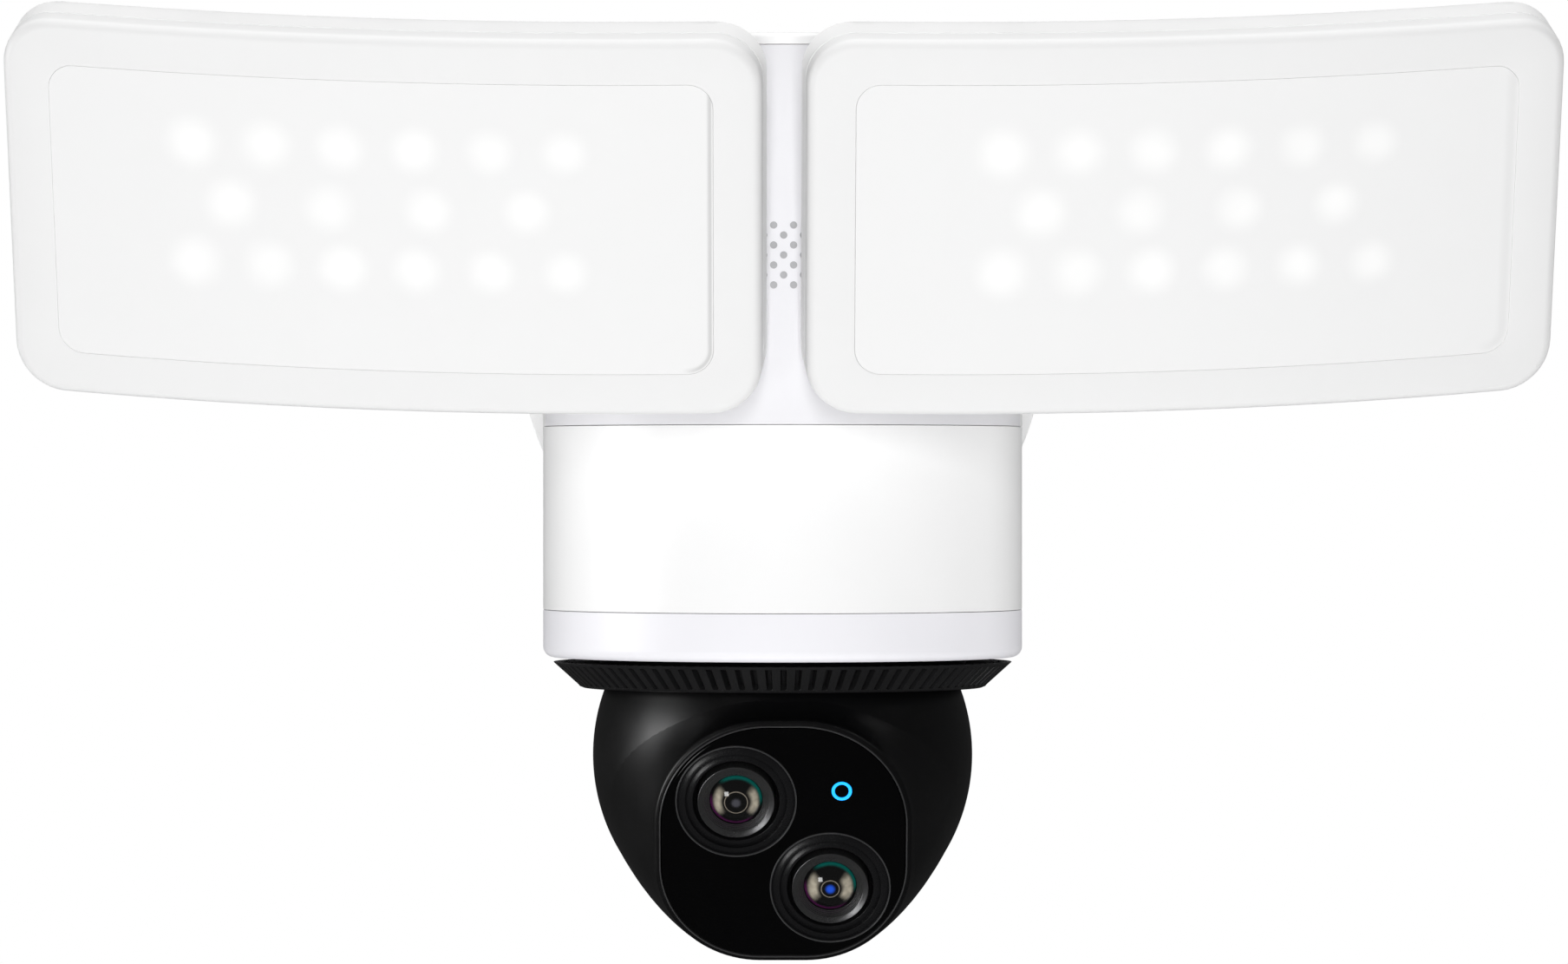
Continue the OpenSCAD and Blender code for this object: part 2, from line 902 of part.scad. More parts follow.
module knuckle() {
  low_ear = -barrel_half - part_gap - ear_t;
  eye_x0 = boss_end_x + part_gap;
  eye_x1 = boss_end_x + 15;
  color("white") difference() {
    union() {
      at_pin() {
        for (z = [low_ear, barrel_half + part_gap]) {
          translate([0, 0, z]) cylinder(r = 8, h = ear_t);
          block([-8, 0, z], [8, 14, z + ear_t]);
        }
        block([-8, 10, low_ear], [8, 18, -low_ear]);
      }
      translate([eye_x0, 0, 0]) rotate([90, 0, 90]) linear_extrude(eye_x1 - eye_x0) arm_outline();
    }
    at_pin() translate([0, 0, -30]) cylinder(r = pin_r, h = 60);
    translate([0, split_y, boss_z]) rod_x(spigot_r + run_gap, eye_x0 - 1, boss_end_x + spigot_len + 0.5);
  }
}

module swing_pin() {
  half = barrel_half + part_gap + ear_t;
  color("silver") at_pin() union() {
    translate([0, 0, -half]) cylinder(r = pin_r, h = 2 * half);
    translate([0, 0, half]) cylinder(r = 5, h = 1.5);
    translate([0, 0, -half - 1.5]) cylinder(r = 5, h = 1.5);
  }
}

module left_side() {
  mirror([1, 0, 0]) children();
}

// ---------- nodes ----------

wall_gasket();
mounting_bracket();
wall_plate();
plate_nuts();
cable_grommet();
terminal_block();
rear_shell();
front_cover();
top_cap();
lower_shell();
trim_ring();
cover_seal();
speaker_frame();
speaker_cone();
power_board();
main_board();
heat_spreader();
wifi_antennas();
chassis_plate();
pan_motor();
pan_bearing();
shell_screws();
memory_card();
sync_button();
card_plug();
pan_pinion();
vent_ring();
turret_cup();
pan_gear();
hub_retainer();
yoke_arms();
tilt_motor();
tilt_pinion();
head_front_shell();
head_rear_shell();
face_trim();
face_plate();
wide_bezel();
tele_bezel();
wide_barrel();
tele_barrel();
wide_glass();
tele_glass();
status_ring();
sensor_board();
tilt_gear();
tilt_axles();
left_side() knuckle();  // left_knuckle
left_side() swing_pin();  // left_swing_pin
left_side() housing();  // left_housing
left_side() front_frame();  // left_front_frame
left_side() diffuser();  // left_diffuser
left_side() led_board();  // left_led_board
knuckle();  // right_knuckle
swing_pin();  // right_swing_pin
housing();  // right_housing
front_frame();  // right_front_frame
diffuser();  // right_diffuser
led_board();  // right_led_board
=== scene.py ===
"""Looks of the floodlight security camera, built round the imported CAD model, in its own frame.

Shapes are drawn in millimetres and turned into metres where a mesh is made.
"""

import json
import math

import bmesh
import bpy
from mathutils import Matrix, Vector


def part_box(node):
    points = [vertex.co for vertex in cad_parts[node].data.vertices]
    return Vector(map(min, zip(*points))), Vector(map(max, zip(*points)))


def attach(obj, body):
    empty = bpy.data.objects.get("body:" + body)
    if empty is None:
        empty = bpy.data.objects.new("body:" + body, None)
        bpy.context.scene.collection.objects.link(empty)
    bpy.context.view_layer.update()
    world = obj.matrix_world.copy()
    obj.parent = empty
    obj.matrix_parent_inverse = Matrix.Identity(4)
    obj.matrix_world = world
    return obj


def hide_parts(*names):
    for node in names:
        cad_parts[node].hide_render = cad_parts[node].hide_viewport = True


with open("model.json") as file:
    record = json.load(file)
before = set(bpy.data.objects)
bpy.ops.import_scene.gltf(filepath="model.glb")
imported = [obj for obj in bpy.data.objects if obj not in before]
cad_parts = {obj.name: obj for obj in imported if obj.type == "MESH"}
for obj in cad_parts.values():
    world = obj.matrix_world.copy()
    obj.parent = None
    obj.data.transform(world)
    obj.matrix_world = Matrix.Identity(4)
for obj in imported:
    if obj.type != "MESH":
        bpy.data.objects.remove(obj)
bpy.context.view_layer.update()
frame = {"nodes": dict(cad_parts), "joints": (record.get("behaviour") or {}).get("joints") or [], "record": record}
cad = frame["nodes"]
joints = {j["name"]: j for j in frame["joints"]}
MM = 0.001


def span(node):
    """Lowest and highest corner of a CAD node, in millimetres."""
    low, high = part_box(node)
    return low / MM, high / MM


# ---------- sizes, read from the frame where it states them ----------

drum_low, drum_high = span("lower_shell")
AXIS_Y = (drum_low.y + drum_high.y) / 2
BODY_R = (drum_high.x - drum_low.x) / 2
WALL_T = 2.8
INNER_R = BODY_R - WALL_T
CAP_TOP_Z = span("top_cap")[1].z
CAP_SEAM_Z = span("front_cover")[1].z
COVER_SEAM_Z = span("front_cover")[0].z
TRIM_SEAM_Z = drum_low.z
TRIM_LOW_Z = span("trim_ring")[0].z
BALL = Vector(joints["head_tilt"]["pos_m"]) / MM
BALL_R = 47.3
BALL_T = 2.2
FACE_TILT = 21.8
FACE_OUT = 43.0
FACE_W, FACE_H = 59.8, 61.2
FACE_CORNER_TOP, FACE_CORNER_LOW = 26.0, 24.3
FACE_DROP = 4.5
LENS_X = 11.5
WIDE_UP, TELE_UP = 11.1, -12.0
STATUS_X, STATUS_UP = 14.2, 13.8
BEZEL_R = 14.8
BOSS_R = 15.0
BOSS_END = 66.0
SPLIT_Y = -88.0
BOSS_Z = joints["right_light_tilt"]["pos_m"][2] / MM
GRILLE_Z = 18.9
GRILLE_PITCH = 4.8
GRILLE_R = 0.885
GRILLE_REACH = 8.4
PANEL_AT = Vector((95.4, -173.0, 24.1))
PANEL_SWING = 5.4
swing_axis = joints["right_light_swing"]["axis"]
PANEL_TILT = math.degrees(math.atan2(-swing_axis[1], swing_axis[2]))
PANEL_W, PANEL_H, PANEL_CORNER = 179.4, 94.1, 12.0
WINDOW_W, WINDOW_H, WINDOW_CORNER = 157.0, 72.4, 6.0
FACE_CURVE = 581.0
LUG_DROP = 12.0
COLUMN = Matrix.Translation((0, AXIS_Y * MM, 0))
SEGMENTS = 192


def turn(degrees, axis):
    return Matrix.Rotation(math.radians(degrees), 4, axis)


def shift(x, y, z):
    return Matrix.Translation((x * MM, y * MM, z * MM))


FACE = Matrix.Translation(BALL * MM) @ turn(FACE_TILT, "X") @ shift(0, 0, -FACE_DROP)


def panel_frame(sign):
    """A light panel's place: sign is 1 for the right and -1 for the left."""
    at = shift(sign * PANEL_AT.x, PANEL_AT.y, PANEL_AT.z)
    return at @ turn(PANEL_TILT, "X") @ turn(sign * PANEL_SWING, "Z")


PANEL = {"left": panel_frame(-1), "right": panel_frame(1)}


# ---------- materials ----------

class Nodes:
    """A small helper that wires up one material's node tree."""

    def __init__(self, name):
        self.material = bpy.data.materials.new(name)
        self.material.use_nodes = True
        self.tree = self.material.node_tree
        self.shader = self.tree.nodes["Principled BSDF"]
        self.place = self.add("ShaderNodeTexCoord").outputs["Object"]

    def add(self, kind, **settings):
        node = self.tree.nodes.new(kind)
        for key, value in settings.items():
            setattr(node, key, value)
        return node

    def link(self, source, target):
        self.tree.links.new(source, target)

    def noise(self, scale, detail=3.0, rough=0.5, place=None):
        node = self.add("ShaderNodeTexNoise")
        node.inputs["Scale"].default_value = scale
        node.inputs["Detail"].default_value = detail
        node.inputs["Roughness"].default_value = rough
        self.link(place or self.place, node.inputs["Vector"])
        return node.outputs["Fac"]

    def math(self, operation, a, b=0.0, c=0.0):
        node = self.add("ShaderNodeMath", operation=operation)
        for socket, value in zip(node.inputs, (a, b, c)):
            if isinstance(value, (int, float)):
                socket.default_value = value
            else:
                self.link(value, socket)
        return node.outputs[0]

    def remap(self, value, low, high, to_low, to_high, smooth=False):
        node = self.add("ShaderNodeMapRange", clamp=True)
        if smooth:
            node.interpolation_type = "SMOOTHSTEP"
        self.link(value, node.inputs["Value"])
        for key, number in (("From Min", low), ("From Max", high), ("To Min", to_low), ("To Max", to_high)):
            node.inputs[key].default_value = number
        return node.outputs["Result"]

    def mix(self, factor, a, b):
        node = self.add("ShaderNodeMix", data_type="RGBA")
        self.link(factor, node.inputs["Factor"])
        for key, value in (("A", a), ("B", b)):
            socket = [s for s in node.inputs if s.name == key and s.type == "RGBA"][0]
            if isinstance(value, (tuple, list)):
                socket.default_value = (*value, 1.0)
            else:
                self.link(value, socket)
        return [s for s in node.outputs if s.type == "RGBA"][0]

    def bump(self, height, distance):
        node = self.add("ShaderNodeBump")
        node.inputs["Distance"].default_value = distance
        node.inputs["Strength"].default_value = 1.0
        self.link(height, node.inputs["Height"])
        return node.outputs["Normal"]

    def axis(self, name):
        """One coordinate of the piece's own space, in metres."""
        node = self.add("ShaderNodeSeparateXYZ")
        self.link(self.place, node.inputs[0])
        return node.outputs[name]

    def times(self, a, b):
        return self.math("MULTIPLY", a, b)

    def length(self, a, b):
        """The distance of the point (a, b) from the origin."""
        return self.math("SQRT", self.math("ADD", self.times(a, a), self.times(b, b)))

    def rise(self, value, low, high):
        """A soft ramp from 0 to 1 between two distances in millimetres."""
        return self.remap(value, low * MM, high * MM, 0.0, 1.0, smooth=True)

    def fall(self, value, low, high):
        """A soft ramp from 1 to 0 between two distances in millimetres."""
        return self.remap(value, low * MM, high * MM, 1.0, 0.0, smooth=True)


def shade(rgb, gain):
    return tuple(min(1.0, c * gain) for c in rgb)


def surface(name, rgb, rough, metallic=0.0, coat=0.0, specular=0.5, grain=0.3, grain_depth=0.01,
            vary=0.03, rough_vary=0.06, brushed=None):
    """Moulded, painted or metal surface: fine grain in the bump, faint mottling in colour and gloss.

    grain is the grain's size and grain_depth its height, both in millimetres. brushed scales the grain's
    frequency on each axis, so that a small number draws it out into lines along that axis.
    """
    n = Nodes(name)
    broad = n.noise(60.0, 4.0, 0.6)
    place = n.place
    if brushed:
        stretch = n.add("ShaderNodeMapping")
        stretch.inputs["Scale"].default_value = brushed
        n.link(n.place, stretch.inputs["Vector"])
        place = stretch.outputs["Vector"]
    fine = n.noise(1.0 / (grain * MM), 2.0, 0.55, place)
    mottle = n.math("MULTIPLY_ADD", fine, 0.35, n.times(broad, 0.65))
    n.link(n.mix(n.remap(mottle, 0.35, 0.65, 0.0, 1.0), shade(rgb, 1 - vary), shade(rgb, 1 + vary)),
           n.shader.inputs["Base Color"])
    n.link(n.remap(mottle, 0.3, 0.7, max(0.02, rough - rough_vary), min(1.0, rough + rough_vary)),
           n.shader.inputs["Roughness"])
    n.link(n.bump(fine, grain_depth * MM), n.shader.inputs["Normal"])
    n.shader.inputs["Metallic"].default_value = metallic
    n.shader.inputs["Specular IOR Level"].default_value = specular
    if coat:
        n.shader.inputs["Coat Weight"].default_value = coat
        n.shader.inputs["Coat Roughness"].default_value = 0.08
    return n


def circuit_board():
    """Green solder mask with faint traces and pads."""
    mask = (0.012, 0.09, 0.035)
    n = surface("circuit_board", mask, 0.35, grain=0.4)
    weave = n.add("ShaderNodeTexBrick")
    weave.inputs["Scale"].default_value = 260.0
    weave.inputs["Mortar Size"].default_value = 0.03
    n.link(n.place, weave.inputs["Vector"])
    traces = n.times(weave.outputs["Fac"], 0.8)
    n.link(n.mix(traces, mask, (0.05, 0.20, 0.06)), n.shader.inputs["Base Color"])
    return n


# How dark the painted shade down each window's right edge is, and how wide.
WINDOW_EDGE_SHADE = {"left": (0.26, 1.7), "right": (0.06, 3.6)}
LED_ROWS = ((19.4, 17.6, 3.0), (4.4, 23.4, 2.0), (-10.6, 17.6, 3.0))


def led_glow(n, x, z):
    """Soft round spots behind the window: each row has a height, a pitch and half its count."""
    spread = n.remap(x, -75 * MM, 75 * MM, 0.90, 1.22)
    glow = None
    for row_z, pitch, half_count in LED_ROWS:
        cell = n.math("SUBTRACT", n.math("FRACT", n.math("DIVIDE", x, pitch * MM)), 0.5)
        reach = n.length(n.times(cell, pitch * MM), n.math("SUBTRACT", z, row_z * MM))
        inside = n.math("LESS_THAN", n.math("ABSOLUTE", x), pitch * half_count * MM)
        spot = n.times(n.fall(n.times(reach, spread), 0.8, 8.4), inside)
        glow = spot if glow is None else n.math("MAXIMUM", glow, spot)
    return n.times(glow, n.remap(n.noise(60.0, 2.0), 0.35, 0.65, 0.72, 1.0))


def painted_edge_shade(n, x, z, width):
    """A line of painted shade that follows the window's right edge and lower right corner, a little way in."""
    across = n.math("SUBTRACT", x, (WINDOW_W / 2 - WINDOW_CORNER) * MM)
    down = n.math("SUBTRACT", n.times(z, -1.0), (WINDOW_H / 2 - WINDOW_CORNER) * MM)
    past = n.length(n.math("MAXIMUM", across, 0.0), n.math("MAXIMUM", down, 0.0))
    straight = n.math("MINIMUM", n.math("MAXIMUM", across, down), 0.0)
    from_edge = n.math("SUBTRACT", WINDOW_CORNER * MM, n.math("ADD", past, straight))
    line = n.times(n.rise(from_edge, 0.1, 0.35 * width), n.fall(from_edge, 0.45 * width, width))
    return n.times(line, n.rise(x, WINDOW_W / 2 - 8, WINDOW_W / 2 - 3))


def diffuser_material(name="opal_diffuser", edge_shade_amount=0.0, edge_width=2.0):
    """Frosted opal window, lit from behind by the LEDs, with a line of painted shade down its right edge."""
    n = surface(name, (0.76, 0.76, 0.76), 0.45, grain=0.25, grain_depth=0.002, vary=0.004, rough_vary=0.02)
    x, z = n.axis("X"), n.axis("Z")
    emission = n.mix(led_glow(n, x, z), (0.055, 0.055, 0.055), (0.16, 0.16, 0.156))
    n.link(emission, n.shader.inputs["Emission Color"])
    # Painted shade: the line darkens the colour and dims the glow along the window's right edge.
    dark = n.times(painted_edge_shade(n, x, z, edge_width), edge_shade_amount)
    n.link(n.math("SUBTRACT", 1.0, dark), n.shader.inputs["Emission Strength"])
    colour = n.shader.inputs["Base Color"].links[0].from_socket
    n.link(n.mix(dark, colour, (0.0, 0.0, 0.0)), n.shader.inputs["Base Color"])
    return n


GLASS_EDGE_R = 6.0


def glass_with_painted_reflections(name="lens_glass", pupil=(0.05, 0.05, 0.055), pupil_r=2.8):
    """Front element drawn opaque: dark middle, thin iris ring, and painted reflections, beige left and right and
    coloured at the edges.
    """
    n = surface(name, (0.01, 0.01, 0.01), 0.05, coat=1.0, grain=2.0, grain_depth=0.0003, rough_vary=0.02)
    x, y = n.axis("X"), n.axis("Y")
    radius = n.length(x, y)
    side = n.math("DIVIDE", n.math("ABSOLUTE", x), n.math("ADD", radius, 0.0001))
    # Painted reflection: a beige fan to the left and right, on a band between the iris ring and the glass's edge.
    fan = n.remap(side, 0.60, 0.96, 0.0, 1.0, smooth=True)
    band = n.times(n.rise(radius, pupil_r + 0.3, pupil_r + 1.6), n.fall(radius, 4.9, GLASS_EDGE_R))
    cloud = n.remap(n.noise(420.0, 2.0), 0.35, 0.65, 0.55, 1.0)
    painted_reflection = n.mix(n.times(n.times(fan, band), cloud), (0.003, 0.003, 0.003), (0.42, 0.38, 0.30))
    # Painted reflection in colour round the glass's edge: magenta towards the lower left, teal towards the upper
    # right.
    edge = n.times(n.rise(radius, 5.3, GLASS_EDGE_R), n.fall(radius, GLASS_EDGE_R + 0.1, GLASS_EDGE_R + 0.5))
    lean = n.math("ADD", n.times(x, 0.6), y)
    painted_edge_reflection = n.mix(n.rise(lean, -2.0, 2.5), (0.07, 0.008, 0.06), (0.0, 0.11, 0.09))
    reach = n.remap(n.math("ABSOLUTE", lean), 1.5 * MM, 4.5 * MM, 0.0, 0.75, smooth=True)
    coloured = n.mix(n.times(edge, reach), painted_reflection, painted_edge_reflection)
    ring = n.times(n.remap(radius, (pupil_r - 0.18) * MM, (pupil_r - 0.05) * MM, 0.0, 1.0),
                   n.remap(radius, (pupil_r + 0.05) * MM, (pupil_r + 0.18) * MM, 1.0, 0.0))
    ringed = n.mix(n.times(ring, 0.7), coloured, (0.24, 0.21, 0.17))
    n.link(n.mix(n.fall(radius, 0.5, 1.5), ringed, pupil), n.shader.inputs["Base Color"])
    return n


def status_light():
    """Lit blue light guide."""
    n = surface("status_blue", (0.01, 0.35, 0.95), 0.3, grain=0.2)
    glow = n.remap(n.noise(1500.0), 0.3, 0.7, 0.0, 1.0)
    n.link(n.mix(glow, (0.004, 0.33, 1.0), (0.008, 0.38, 1.0)), n.shader.inputs["Emission Color"])
    n.shader.inputs["Emission Strength"].default_value = 1.0
    return n


PLAIN = {
    "foam_gasket": dict(rgb=(0.03, 0.03, 0.032), rough=0.9, grain=0.5, grain_depth=0.12, vary=0.3),
    "zinc_steel": dict(rgb=(0.55, 0.56, 0.57), rough=0.35, metallic=1.0, grain=0.4, vary=0.08,
                       brushed=(1.0, 1.0, 0.06)),
    "shell_white": dict(rgb=(0.90, 0.90, 0.90), rough=0.32, grain=0.5, grain_depth=0.0015, vary=0.004,
                        rough_vary=0.02),
    "cool_white": dict(rgb=(0.855, 0.85, 0.885), rough=0.38, grain=0.35, grain_depth=0.003, vary=0.004,
                       rough_vary=0.02),
    # A darker copy of cool_white, used for the front cover alone.
    "cover_white": dict(rgb=(0.765, 0.762, 0.785), rough=0.38, grain=0.35, grain_depth=0.003, vary=0.004,
                        rough_vary=0.02),
    "panel_white": dict(rgb=(0.79, 0.79, 0.79), rough=0.42, grain=0.3, grain_depth=0.004, vary=0.005,
                        rough_vary=0.03),
    "cast_white": dict(rgb=(0.82, 0.82, 0.82), rough=0.48, grain=0.4, grain_depth=0.015, vary=0.01),
    "bright_screw": dict(rgb=(0.62, 0.62, 0.63), rough=0.22, metallic=1.0, grain=0.3, vary=0.06,
                         brushed=(1.0, 0.1, 1.0)),
    "black_rubber": dict(rgb=(0.02, 0.02, 0.021), rough=0.75, grain=0.3, grain_depth=0.03, vary=0.2),
    "terminal_ivory": dict(rgb=(0.70, 0.66, 0.55), rough=0.5, grain=0.4),
    "speaker_metal": dict(rgb=(0.10, 0.10, 0.11), rough=0.5, metallic=0.6, grain=0.3),
    "speaker_paper": dict(rgb=(0.02, 0.02, 0.02), rough=0.9, grain=0.5, grain_depth=0.08, vary=0.3),
    "led_substrate": dict(rgb=(0.78, 0.78, 0.75), rough=0.4, grain=0.4, vary=0.04),
    "bare_aluminium": dict(rgb=(0.66, 0.67, 0.68), rough=0.4, metallic=1.0, grain=0.4, vary=0.08,
                           brushed=(1.0, 1.0, 0.05)),
    "antenna_brass": dict(rgb=(0.62, 0.42, 0.14), rough=0.35, metallic=1.0, grain=0.3, vary=0.1),
    "motor_can": dict(rgb=(0.42, 0.43, 0.44), rough=0.33, metallic=1.0, grain=0.3, vary=0.08,
                      brushed=(0.1, 1.0, 1.0)),
    "card_plastic": dict(rgb=(0.01, 0.01, 0.012), rough=0.5, grain=0.2, vary=0.2),
    "gear_nylon": dict(rgb=(0.76, 0.73, 0.64), rough=0.45, grain=0.5, vary=0.04),
    "vent_black": dict(rgb=(0.010, 0.010, 0.0105), rough=0.38, grain=0.22, grain_depth=0.012, vary=0.2,
                       specular=0.45),
    "ball_black": dict(rgb=(0.0020, 0.0020, 0.0023), rough=0.35, grain=0.16, grain_depth=0.004, vary=0.2,
                       specular=0.7),
    "face_gloss": dict(rgb=(0.0009, 0.0009, 0.001), rough=0.09, grain=3.0, grain_depth=0.002, vary=0.15,
                       rough_vary=0.02, specular=0.32),
    "face_rim": dict(rgb=(0.0020, 0.0020, 0.0023), rough=0.35, grain=0.2, grain_depth=0.004, vary=0.2,
                     specular=0.7),
    "bezel_black": dict(rgb=(0.0055, 0.0055, 0.006), rough=0.26, grain=0.2, grain_depth=0.003, vary=0.2),
    # The beads' lighter grey is a painted highlight along the rims' edges.
    "painted_highlight_edge": dict(rgb=(0.035, 0.035, 0.036), rough=0.3, grain=0.2, grain_depth=0.003, vary=0.15,
                        specular=0.8),
    "barrel_dark": dict(rgb=(0.22, 0.22, 0.225), rough=0.3, metallic=0.95, grain=0.15, vary=0.1,
                        brushed=(1.0, 1.0, 0.1)),
    "sound_mesh": dict(rgb=(0.42, 0.42, 0.43), rough=0.7, grain=0.25, grain_depth=0.05, vary=0.12),
}
SPECIAL = {
    "circuit_board": circuit_board,
    "opal_diffuser": diffuser_material,
    "lens_glass": glass_with_painted_reflections,
    "status_blue": status_light,
}
made = {}


def finish_of(slot):
    """The material with this name, made the first time that it is asked for."""
    if slot not in made:
        finish = SPECIAL[slot]() if slot in SPECIAL else surface(slot, **PLAIN[slot])
        made[slot] = finish.material
    return made[slot]


for part in frame["record"]["subparts"]:
    mesh = cad[part["node"]].data
    mesh.materials.clear()
    mesh.materials.append(finish_of(part["material_slot"]))
slot_of = {part["node"]: part["material_slot"] for part in frame["record"]["subparts"]}
body_of = {n: body for body, members in frame["record"]["behaviour"]["bodies"].items() for n in members}


# ---------- outlines and meshes, in millimetres ----------

def fillet(corners, step=15.0):
    """A closed outline whose corners, given as (x, y, radius), are rounded."""
    points = []
    for i, (x, y, r) in enumerate(corners):
        here = Vector((x, y))
        back = Vector(corners[i - 1][:2]) - here
        on = Vector(corners[(i + 1) % len(corners)][:2]) - here
        if r <= 0:
            points.append((x, y))
            continue
        half = back.angle(on) / 2
        reach = min(r / math.tan(half), 0.49 * back.length, 0.49 * on.length)
        r = reach * math.tan(half)
        centre = here + (back.normalized() + on.normalized()).normalized() * r / math.sin(half)
        first = here + back.normalized() * reach - centre
        last = here + on.normalized() * reach - centre
        a0 = math.atan2(first.y, first.x)
        turned = (math.atan2(last.y, last.x) - a0 + math.pi) % (2 * math.pi) - math.pi
        count = max(1, math.ceil(abs(math.degrees(turned)) / step))
        for k in range(count + 1):
            a = a0 + turned * k / count
            points.append((centre.x + r * math.cos(a), centre.y + r * math.sin(a)))
    return points


def lathe(profile, steps=SEGMENTS, start=0.0, sweep=360.0):
    """Vertices and faces of a closed profile (r, z) swept round the z axis."""
    whole = sweep >= 360.0
    rings = steps if whole else steps + 1
    n = len(profile)
    verts = []
    for i in range(rings):
        a = math.radians(start + sweep * i / steps)
        verts += [(r * math.cos(a), r * math.sin(a), z) for r, z in profile]
    faces = [(i * n + k, (i + 1) % rings * n + k, (i + 1) % rings * n + (k + 1) % n, i * n + (k + 1) % n)
             for i in range(steps) for k in range(n)]
    if not whole:
        faces += [tuple(range(n)), tuple(range((rings - 1) * n, rings * n))]
    return verts, faces


def loft(rings, loop=False, caps=False):
    """Vertices and faces of a skin over rings that all have the same number of points."""
    n = len(rings[0])
    verts = [p for ring in rings for p in ring]
    faces = []
    for i in range(len(rings) if loop else len(rings) - 1):
        j = (i + 1) % len(rings)
        faces += [(i * n + k, i * n + (k + 1) % n, j * n + (k + 1) % n, j * n + k) for k in range(n)]
    if caps:
        faces += [tuple(range(n)), tuple(range((len(rings) - 1) * n, len(rings) * n))]
    return verts, faces


def rounded_rectangle(w, h, r, corner_steps=12, side_steps=1, end_steps=1):
    """A rounded rectangle's outline, anticlockwise, with the same number of points at any size.

    r is one radius, or a pair for the upper and the lower corners.
    """
    top, low = (max(v, 0.001) for v in (r if isinstance(r, tuple) else (r, r)))
    points = []
    corners = ((w / 2 - top, h / 2 - top, 0, top), (-w / 2 + top, h / 2 - top, 90, top),
               (-w / 2 + low, -h / 2 + low, 180, low), (w / 2 - low, -h / 2 + low, 270, low))

    def on_arc(corner, turned):
        cx, cy, start, radius = corner
        a = math.radians(start + turned)
        return cx + radius * math.cos(a), cy + radius * math.sin(a)

    for i, corner in enumerate(corners):
        arc = [on_arc(corner, 90 * k / corner_steps) for k in range(corner_steps + 1)]
        x0, y0 = arc[-1]
        x1, y1 = on_arc(corners[(i + 1) % 4], 0)
        count = side_steps if i % 2 == 0 else end_steps
        points += arc
        points += [(x0 + (x1 - x0) * k / count, y0 + (y1 - y0) * k / count) for k in range(1, count)]
    return points


def merge(*parts):
    """Joins several (verts, faces) pairs into one."""
    verts, faces = [], []
    for part_verts, part_faces in parts:
        base = len(verts)
        verts += list(part_verts)
        faces += [tuple(base + i for i in face) for face in part_faces]
    return verts, faces


def moved(shape, matrix):
    """A shape under a matrix whose translation is in metres."""
    verts, faces = shape
    return [matrix @ (Vector(v) * MM) / MM for v in verts], faces


def mesh_of(name, shape):
    """A Blender mesh, in metres, from a shape in millimetres."""
    verts, faces = shape
    mesh = bpy.data.meshes.new(name)
    mesh.from_pydata([Vector(v) * MM for v in verts], [], faces)
    tidy(mesh)
    return mesh


def tidy(mesh, dissolve=None):
    """Welds doubled points, drops collapsed faces and points every normal outwards."""
    bm = bmesh.new()
    bm.from_mesh(mesh)
    bmesh.ops.remove_doubles(bm, verts=bm.verts, dist=2e-6)
    bmesh.ops.dissolve_degenerate(bm, edges=bm.edges, dist=1e-8)
    if dissolve:
        bmesh.ops.dissolve_limit(bm, angle_limit=math.radians(dissolve), verts=bm.verts, edges=bm.edges)
    bmesh.ops.recalc_face_normals(bm, faces=bm.faces)
    bm.to_mesh(mesh)
    bm.free()
    mesh.update()


def show(name, mesh, body, slot, stands_for=(), place=None, sharp=32.0, material=None):
    """Makes a finished piece from a mesh, hangs it on its body and hides the CAD nodes that it stands for."""
    mesh.shade_smooth()
    mesh.set_sharp_from_angle(angle=math.radians(sharp))
    mesh.materials.clear()
    mesh.materials.append(material or finish_of(slot))
    obj = bpy.data.objects.new(name, mesh)
    bpy.context.scene.collection.objects.link(obj)
    obj.matrix_world = place or Matrix.Identity(4)
    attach(obj, body)
    if stands_for:
        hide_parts(*stands_for)
    return obj


def stand_for(node, shape, place=None, sharp=32.0, material=None):
    """A piece that takes over one CAD node's look."""
    mesh = shape if isinstance(shape, bpy.types.Mesh) else mesh_of(node, shape)
    return show(node + "_look", mesh, body_of[node], slot_of[node], (node,), place, sharp, material)


def applied(mesh, kind, **settings):
    """A mesh after one modifier."""
    obj = bpy.data.objects.new("work", mesh)
    bpy.context.scene.collection.objects.link(obj)
    modifier = obj.modifiers.new(kind, kind)
    for key, value in settings.items():
        setattr(modifier, key, value)
    depsgraph = bpy.context.evaluated_depsgraph_get()
    result = bpy.data.meshes.new_from_object(obj.evaluated_get(depsgraph))
    bpy.data.objects.remove(obj)
    return result


def combined(mesh, tools, operation):
    """A mesh after a boolean with each tool mesh in turn."""
    for tool_mesh in tools:
        tool = bpy.data.objects.new("tool", tool_mesh)
        bpy.context.scene.collection.objects.link(tool)
        mesh = applied(mesh, "BOOLEAN", object=tool, operation=operation, solver="EXACT")
        bpy.data.objects.remove(tool)
    return mesh


def exact_normals(obj, radii, tolerance, agreement, upright=False):
    """Gives a sphere's walls, or an upright cylinder's, exact normals, so that cuts leave no marks."""
    mesh = obj.data
    normals = [Vector(c.vector) for c in mesh.corner_normals]
    for polygon in mesh.polygons:
        for i in polygon.loop_indices:
            radial = mesh.vertices[mesh.loops[i].vertex_index].co / MM
            if upright:
                radial.z = 0
            if min(abs(radial.length - r) for r in radii) > tolerance:
                continue
            radial.normalize()
            facing = polygon.normal.dot(radial)
            if abs(facing) > agreement:
                normals[i] = radial if facing > 0 else -radial
    mesh.normals_split_custom_set(normals)


